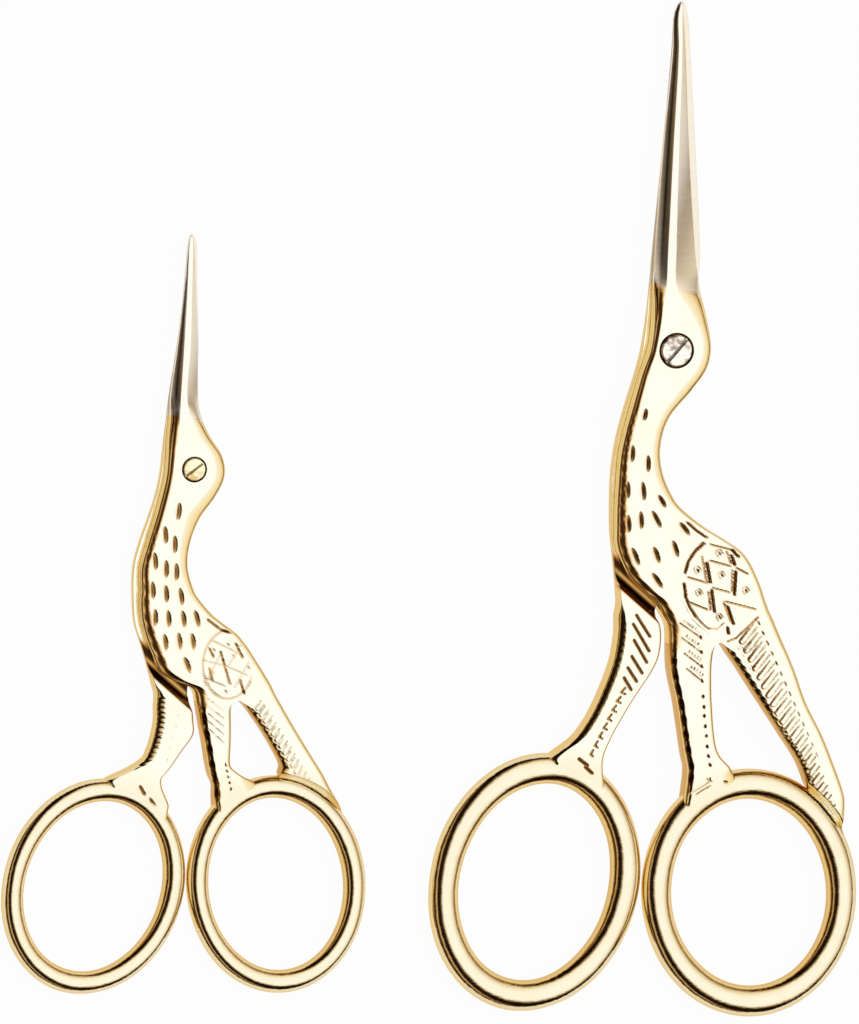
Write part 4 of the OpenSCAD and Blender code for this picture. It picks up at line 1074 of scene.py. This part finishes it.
def screw_material(name, bright, dark, pair):
    """Turned metal: rings about the pivot, with painted shade in the slot."""
    material = bpy.data.materials.new(name)
    tree = ShaderTree(material)
    place = tree.node("TexCoord", {}, {}, "Object")
    pivot_x, pivot_y = pair["pivot"]
    centred = tree.node("Mapping", {}, {
        "Vector": place, "Location": (-pivot_x * MM, -pivot_y * MM, 0)})
    rings = tree.node("TexWave", {"wave_type": "RINGS", "rings_direction": "Z"}, {
        "Vector": centred, "Scale": 2600.0, "Distortion": 1.2, "Detail": 2.0}, 1)
    carved = tree.attribute("carved")
    cloud = tree.noise(place, 620, detail=2.0)
    brush = tree.noise(tree.stretched(place, -pair["slot_angle"], (500, 4500, 500)), 1.0, detail=2.0)
    # Random patches of painted reflection, light and dark, over the head.
    reflection_patches = ((cloud - 0.5) * 7.0 + (brush - 0.5) * 2.0 + 0.25).clamp()
    colour = tree.mix(reflection_patches, rgba(bright), rgba(dark))
    # Painted shade in the slot.
    colour = tree.mix(carved * 0.8, colour, rgba(dark, 0.3))
    roughness = 0.18 + rings * 0.06 + cloud * 0.12
    height = rings * 0.2 + cloud * 0.5 + brush * 0.5
    metal_surface(tree, colour, roughness, height, bump=0.00003)
    return material


def slotted_screw(pair):
    """Slotted screw: a domed cap on lines that run along the slot, so that its walls are straight,
    then a skirt through the chamfer, the side and the shank, closed at the end of the thread."""
    name = pair["name"] + "_pivot_screw"
    low, high = (np.array(corner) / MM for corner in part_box(name))
    radius = (high[0] - low[0]) / 2 * HEAD_FILL
    slot_half = SLOT_SHARE * radius
    chamfer, dome = (size * radius / HEAD_RADIUS for size in (HEAD_CHAMFER, HEAD_DOME))
    top, cap_radius = high[2], radius - chamfer
    seat = top - pair["screw_rise"]
    floor = top - 0.5 * pair["screw_rise"]
    side = np.sin(np.linspace(-np.pi / 2, np.pi / 2, 45)) * cap_radius
    steps = np.array([slot_half - SLOT_SLANT, slot_half, slot_half + SLOT_LIP])
    v = np.concatenate([side[np.abs(side) > slot_half + SLOT_LIP], -steps, steps, [0]])
    v = np.unique(v)[:, None]
    t = np.linspace(-1, 1, 41)[None, :]
    u = t * np.sqrt(np.maximum(cap_radius ** 2 - v ** 2, 1e-8))
    slot = (np.abs(v) < slot_half - SLOT_SLANT / 2).astype(float) + 0 * u
    z = top - dome * (u ** 2 + v ** 2) / cap_radius ** 2
    z = z - SLOT_LIP * ((np.abs(v) >= slot_half) & (np.abs(v) < slot_half + SLOT_LIP / 2))
    z = np.where(slot > 0, floor, z)
    skin = Skin()
    turn = math.radians(pair["slot_angle"])
    c, s = math.cos(turn), math.sin(turn)
    place = lambda a, b: (a * c - b * s, a * s + b * c)
    x, y = place(u, v + 0 * u)
    rim = lambda grid: np.concatenate([grid[:, -1], grid[::-1, 0]])
    rim_u, rim_v, rim_z, rim_slot = rim(u), rim(v), rim(z), rim(slot) > 0
    angle = np.arctan2(rim_v, rim_u)
    shank, thread, shoulder = pair["shank"] / 2, pair["thread"] / 2, pair["half"] - FLAT_CUT
    rings = ((radius, top - dome - chamfer), (radius, seat), (shank, seat), (shank, shoulder),
             (thread, shoulder), (thread, THREAD_END), (0, THREAD_END))
    rows = [(rim_u, rim_v, rim_z)]
    for ring_radius, level in rings:
        height = np.where(rim_slot, np.minimum(level, floor), level)
        rows.append((ring_radius * np.cos(angle), ring_radius * np.sin(angle), height))
    su, sv, sz = (np.array([row[k] for row in rows]) for k in range(3))
    sx, sy = place(su, sv)
    skin.add(sx, sy, sz, 0.0, 0.0)
    skin.add(x, y, z, slot, 1.0, closed=False)
    return skin, name


def colour_property(name, description, default):
    """One colour of the property group below."""
    return FloatVectorProperty(name=name, description=description, default=default, subtype="COLOR",
                               size=3, min=0.0, max=1.0)


class ScissorColours(bpy.types.PropertyGroup):
    """Colours of the metals, with their painted highlights, reflections and shade, and of the stage."""
    # Painted highlight: the pale colour of the upper faces.
    gold_highlight: colour_property("Gold faces", "Painted highlight on upper faces, where the plate is palest",
                               (0.915, 0.92, 0.80))
    gold_wall: colour_property("Gold walls", "Side walls and rounded edges", (0.82, 0.60, 0.25))
    # Painted shade on walls that mirror other walls.
    gold_shade: colour_property("Gold shade", "Painted shade on inner walls, which mirror one another",
                               (0.62, 0.34, 0.10))
    # Painted shade of the cuts.
    gold_cut_shade: colour_property("Gold cuts", "Painted shade in the chased cuts", (0.04, 0.016, 0.005))
    steel_bright: colour_property("Ground steel", "Light grinding marks on the blades",
                                  (0.95, 0.88, 0.77))
    steel_dark: colour_property("Ground steel, dark", "Dark grinding marks on the blades",
                                (0.78, 0.70, 0.58))
    # Painted highlight on the blade's upper face.
    steel_ridge_highlight: colour_property("Blade ridge", "Painted highlight on the blades' ridge", (0.93, 0.91, 0.82))
    screw_steel: colour_property("Steel screw", "Large pair's pivot screw", (1.0, 0.96, 0.88))
    # Painted dark reflections on the steel screw, and its slot's painted shade.
    screw_steel_reflection_and_shade: colour_property("Steel screw, dark", "Its painted dark reflections and slot shade", (0.30, 0.22, 0.16))
    screw_gold: colour_property("Gold screw", "Small pair's pivot screw", (1.0, 0.93, 0.66))
    # Painted dark reflections on the gold screw, and its slot's painted shade.
    screw_gold_reflection_and_shade: colour_property("Gold screw, dark", "Its painted dark reflections and slot shade", (0.72, 0.52, 0.22))
    floor: colour_property("Floor", "Pale floor under the set", (0.93, 0.93, 0.93))


class ScissorSizes(bpy.types.PropertyGroup):
    """Sizes of the stage; the scissors take theirs from the frame."""
    floor_size: FloatProperty(name="Floor size", description="Side of the square floor", default=3.0,
                              min=0.5, unit="LENGTH")
    camera_distance: FloatProperty(name="Camera distance", description="Camera to the set's middle",
                                   default=6.0, min=0.3, unit="LENGTH")
    backdrop_share: FloatProperty(name="Backdrop white", description="Share of the floor that shows "
                                  "plain white; the rest is lit and keeps the shadow",
                                  default=0.96, min=0.0, max=1.0)
    light_strength: FloatProperty(name="Light strength", description="Brightness of the light tent",
                                  default=1.0, min=0.0)


def finish_piece(obj, body, node, material):
    """Gives a piece its material, body and hidden node."""
    obj.data.materials.append(material)
    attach(obj, body)
    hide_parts(node)


def build_halves(side, build, colours):
    """Builds both pairs' halves of one side."""
    for name, pair in PAIRS.items():
        node = name + "_" + side + "_half"
        obj = build(pair).finish(node + "_skin", pair["pivot"])
        finish_piece(obj, name + "_" + side, node, plated_material(pair, colours))


class SCISSORS_OT_back_halves(bpy.types.Operator):
    """Builds the two halves that lie underneath"""
    bl_idname = "scissors.back_halves"
    bl_label = "Back halves"

    def execute(self, context):
        build_halves("back", back_half, context.scene.scissor_colours)
        return {"FINISHED"}


class SCISSORS_OT_front_halves(bpy.types.Operator):
    """Builds the two halves on top, with their ornament"""
    bl_idname = "scissors.front_halves"
    bl_label = "Front halves"

    def execute(self, context):
        build_halves("front", front_half, context.scene.scissor_colours)
        return {"FINISHED"}


class SCISSORS_OT_screws(bpy.types.Operator):
    """Builds the two slotted pivot screws"""
    bl_idname = "scissors.screws"
    bl_label = "Pivot screws"

    def execute(self, context):
        colours = context.scene.scissor_colours
        metals = {"large": ("screw_steel", colours.screw_steel, colours.screw_steel_reflection_and_shade),
                  "small": ("screw_gold", colours.screw_gold, colours.screw_gold_reflection_and_shade)}
        for name, pair in PAIRS.items():
            slot, bright, dark = metals[name]
            skin, node = slotted_screw(pair)
            obj = skin.finish(node + "_skin", pair["pivot"])
            finish_piece(obj, name + "_back", node,
                         screw_material(name + " turned screw", bright, dark, pair))
        return {"FINISHED"}


class SCISSORS_OT_stage(bpy.types.Operator):
    """Builds the floor, the light tent and the camera"""
    bl_idname = "scissors.stage"
    bl_label = "Stage"

    def execute(self, context):
        scene = context.scene
        sizes, colours = scene.scissor_sizes, scene.scissor_colours
        half, drop = sizes.floor_size / 2, 2e-5
        corners = [(-half, -half), (half, -half), (half, half), (-half, half)]
        mesh = bpy.data.meshes.new("floor")
        mesh.from_pydata([(x, y, -drop) for x, y in corners], [], [(0, 1, 2, 3)])
        floor = bpy.data.objects.new("floor", mesh)
        scene.collection.objects.link(floor)
        material = bpy.data.materials.new("pale floor")
        tree = ShaderTree(material)
        lit = tree.node("BsdfPrincipled", {}, {
            "Base Color": rgba(colours.floor), "Roughness": 0.9, "Specular IOR Level": 0.0})
        white = tree.node("Emission", {}, {"Color": (1, 1, 1, 1), "Strength": 1.0})
        seen = [tree.node("LightPath", {}, {}, ray) for ray in (
            "Is Camera Ray", "Is Glossy Ray", "Is Transmission Ray")]
        share = (seen[0] + seen[1] + seen[2]).clamp() * sizes.backdrop_share
        surface = tree.node("MixShader", {}, {0: share, 1: lit, 2: white})
        tree.node("OutputMaterial", {}, {"Surface": surface})
        mesh.materials.append(material)
        light_tent(scene, sizes.light_strength)
        photo_camera(scene, sizes.camera_distance)
        scene.view_settings.view_transform = "Standard"
        return {"FINISHED"}


def light_tent(scene, strength):
    """World light: white overhead and to the right, with a dark stretch half-way down on the side
    that the camera leans to, so that rounded edges facing it mirror something dark. The shade
    follows the height of a direction plus its lean away from that side. A horizon below it is
    warmer and darker."""
    world = bpy.data.worlds.new("light tent")
    scene.world = world
    tree = ShaderTree(world)
    way = tree.node("TexCoord", {}, {}, "Generated")
    up = tree.axis(way, "Z")
    right = tree.axis(way, "X")
    ahead = tree.axis(way, "Y")
    height = (up + right * 0.56 + ahead * 0.22) * 0.5 + 0.4
    black, white, warm = (0.012, 0.006, 0.003, 1), (1.12, 1.12, 1.1, 1), (0.75, 0.58, 0.36, 1)
    brown, plain = (0.5, 0.36, 0.2, 1), (1, 1, 1, 1)
    shade = tree.node("ValToRGB", {"stops": (
        (0.0, warm), (1.0, white), (0.16, warm), (0.215, black), (0.27, black), (0.31, warm),
        (0.385, warm), (0.42, black), (0.63, black), (0.69, brown), (0.76, white))},
        {0: height})
    horizon = tree.node("ValToRGB", {"stops": (
        (0.0, (0.22, 0.14, 0.08, 1)), (1.0, plain), (0.16, (0.3, 0.21, 0.13, 1)),
        (0.34, (0.74, 0.62, 0.46, 1)), (0.6, (0.96, 0.93, 0.87, 1)), (0.8, plain))}, {0: up})
    shade = tree.node("Mix", {"data_type": "RGBA", "blend_type": "MULTIPLY"}, {
        0: 1.0, 6: shade, 7: horizon}, 2)
    tree.node("OutputWorld", {}, {"Surface": tree.node("Background", {}, {
        "Color": shade, "Strength": strength})})


def photo_camera(scene, distance):
    """Camera in the photograph's direction. It looks from the left and a little from the top, and
    its frame is the photograph's, laid out from the large screw's head."""
    tilt_left, tilt_up = math.radians(CAMERA_LEFT), math.radians(CAMERA_UP)
    back = np.array([-math.sin(tilt_left), math.sin(tilt_up), 0])
    back[2] = math.sqrt(1 - back @ back)
    right = np.cross([0, 1, 0], back)
    right /= np.linalg.norm(right)
    up = np.cross(back, right)
    head = np.array([*[v * MM for v in LARGE["pivot"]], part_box("large_pivot_screw")[1][2]])
    scale = PHOTO_SCALE_MM * MM
    aim = (head + right * (PHOTO_WIDTH / 2 - PHOTO_PIVOT_X) * scale
           - up * (PHOTO_HEIGHT / 2 - PHOTO_PIVOT_Y) * scale)
    camera = bpy.data.cameras.new("photo camera")
    camera.sensor_fit = "VERTICAL"
    camera.sensor_height = SENSOR_MM
    camera.lens = SENSOR_MM * distance / (PHOTO_HEIGHT * scale)
    camera.clip_start, camera.clip_end = 0.05, 20
    obj = bpy.data.objects.new("photo camera", camera)
    scene.collection.objects.link(obj)
    matrix = np.eye(4)
    matrix[:3] = np.column_stack([right, up, back, aim + back * distance])
    obj.matrix_world = Matrix(matrix.tolist())
    scene.camera = obj


class SCISSORS_PT_panel(bpy.types.Panel):
    """Lists the steps that build the set"""
    bl_idname = "SCISSORS_PT_panel"
    bl_label = "Stork scissors"
    bl_space_type = "VIEW_3D"
    bl_region_type = "UI"
    bl_category = "Scissors"

    def draw(self, context):
        layout = self.layout
        for group in (context.scene.scissor_sizes, context.scene.scissor_colours):
            for name in group.bl_rna.properties.keys():
                if name not in ("rna_type", "name"):
                    layout.prop(group, name)
        for operator in OPERATORS:
            layout.operator(operator.bl_idname)


OPERATORS = (SCISSORS_OT_back_halves, SCISSORS_OT_front_halves, SCISSORS_OT_screws,
             SCISSORS_OT_stage)
CLASSES = (ScissorColours, ScissorSizes, *OPERATORS, SCISSORS_PT_panel)


def register():
    for cls in CLASSES:
        bpy.utils.register_class(cls)
    bpy.types.Scene.scissor_colours = PointerProperty(type=ScissorColours)
    bpy.types.Scene.scissor_sizes = PointerProperty(type=ScissorSizes)


def unregister():
    del bpy.types.Scene.scissor_sizes
    del bpy.types.Scene.scissor_colours
    for cls in reversed(CLASSES):
        bpy.utils.unregister_class(cls)


def main():
    """Builds the set and its stage."""
    register()
    bpy.ops.scissors.back_halves()
    bpy.ops.scissors.front_halves()
    bpy.ops.scissors.screws()
    bpy.ops.scissors.stage()


if __name__ == "__main__":
    main()
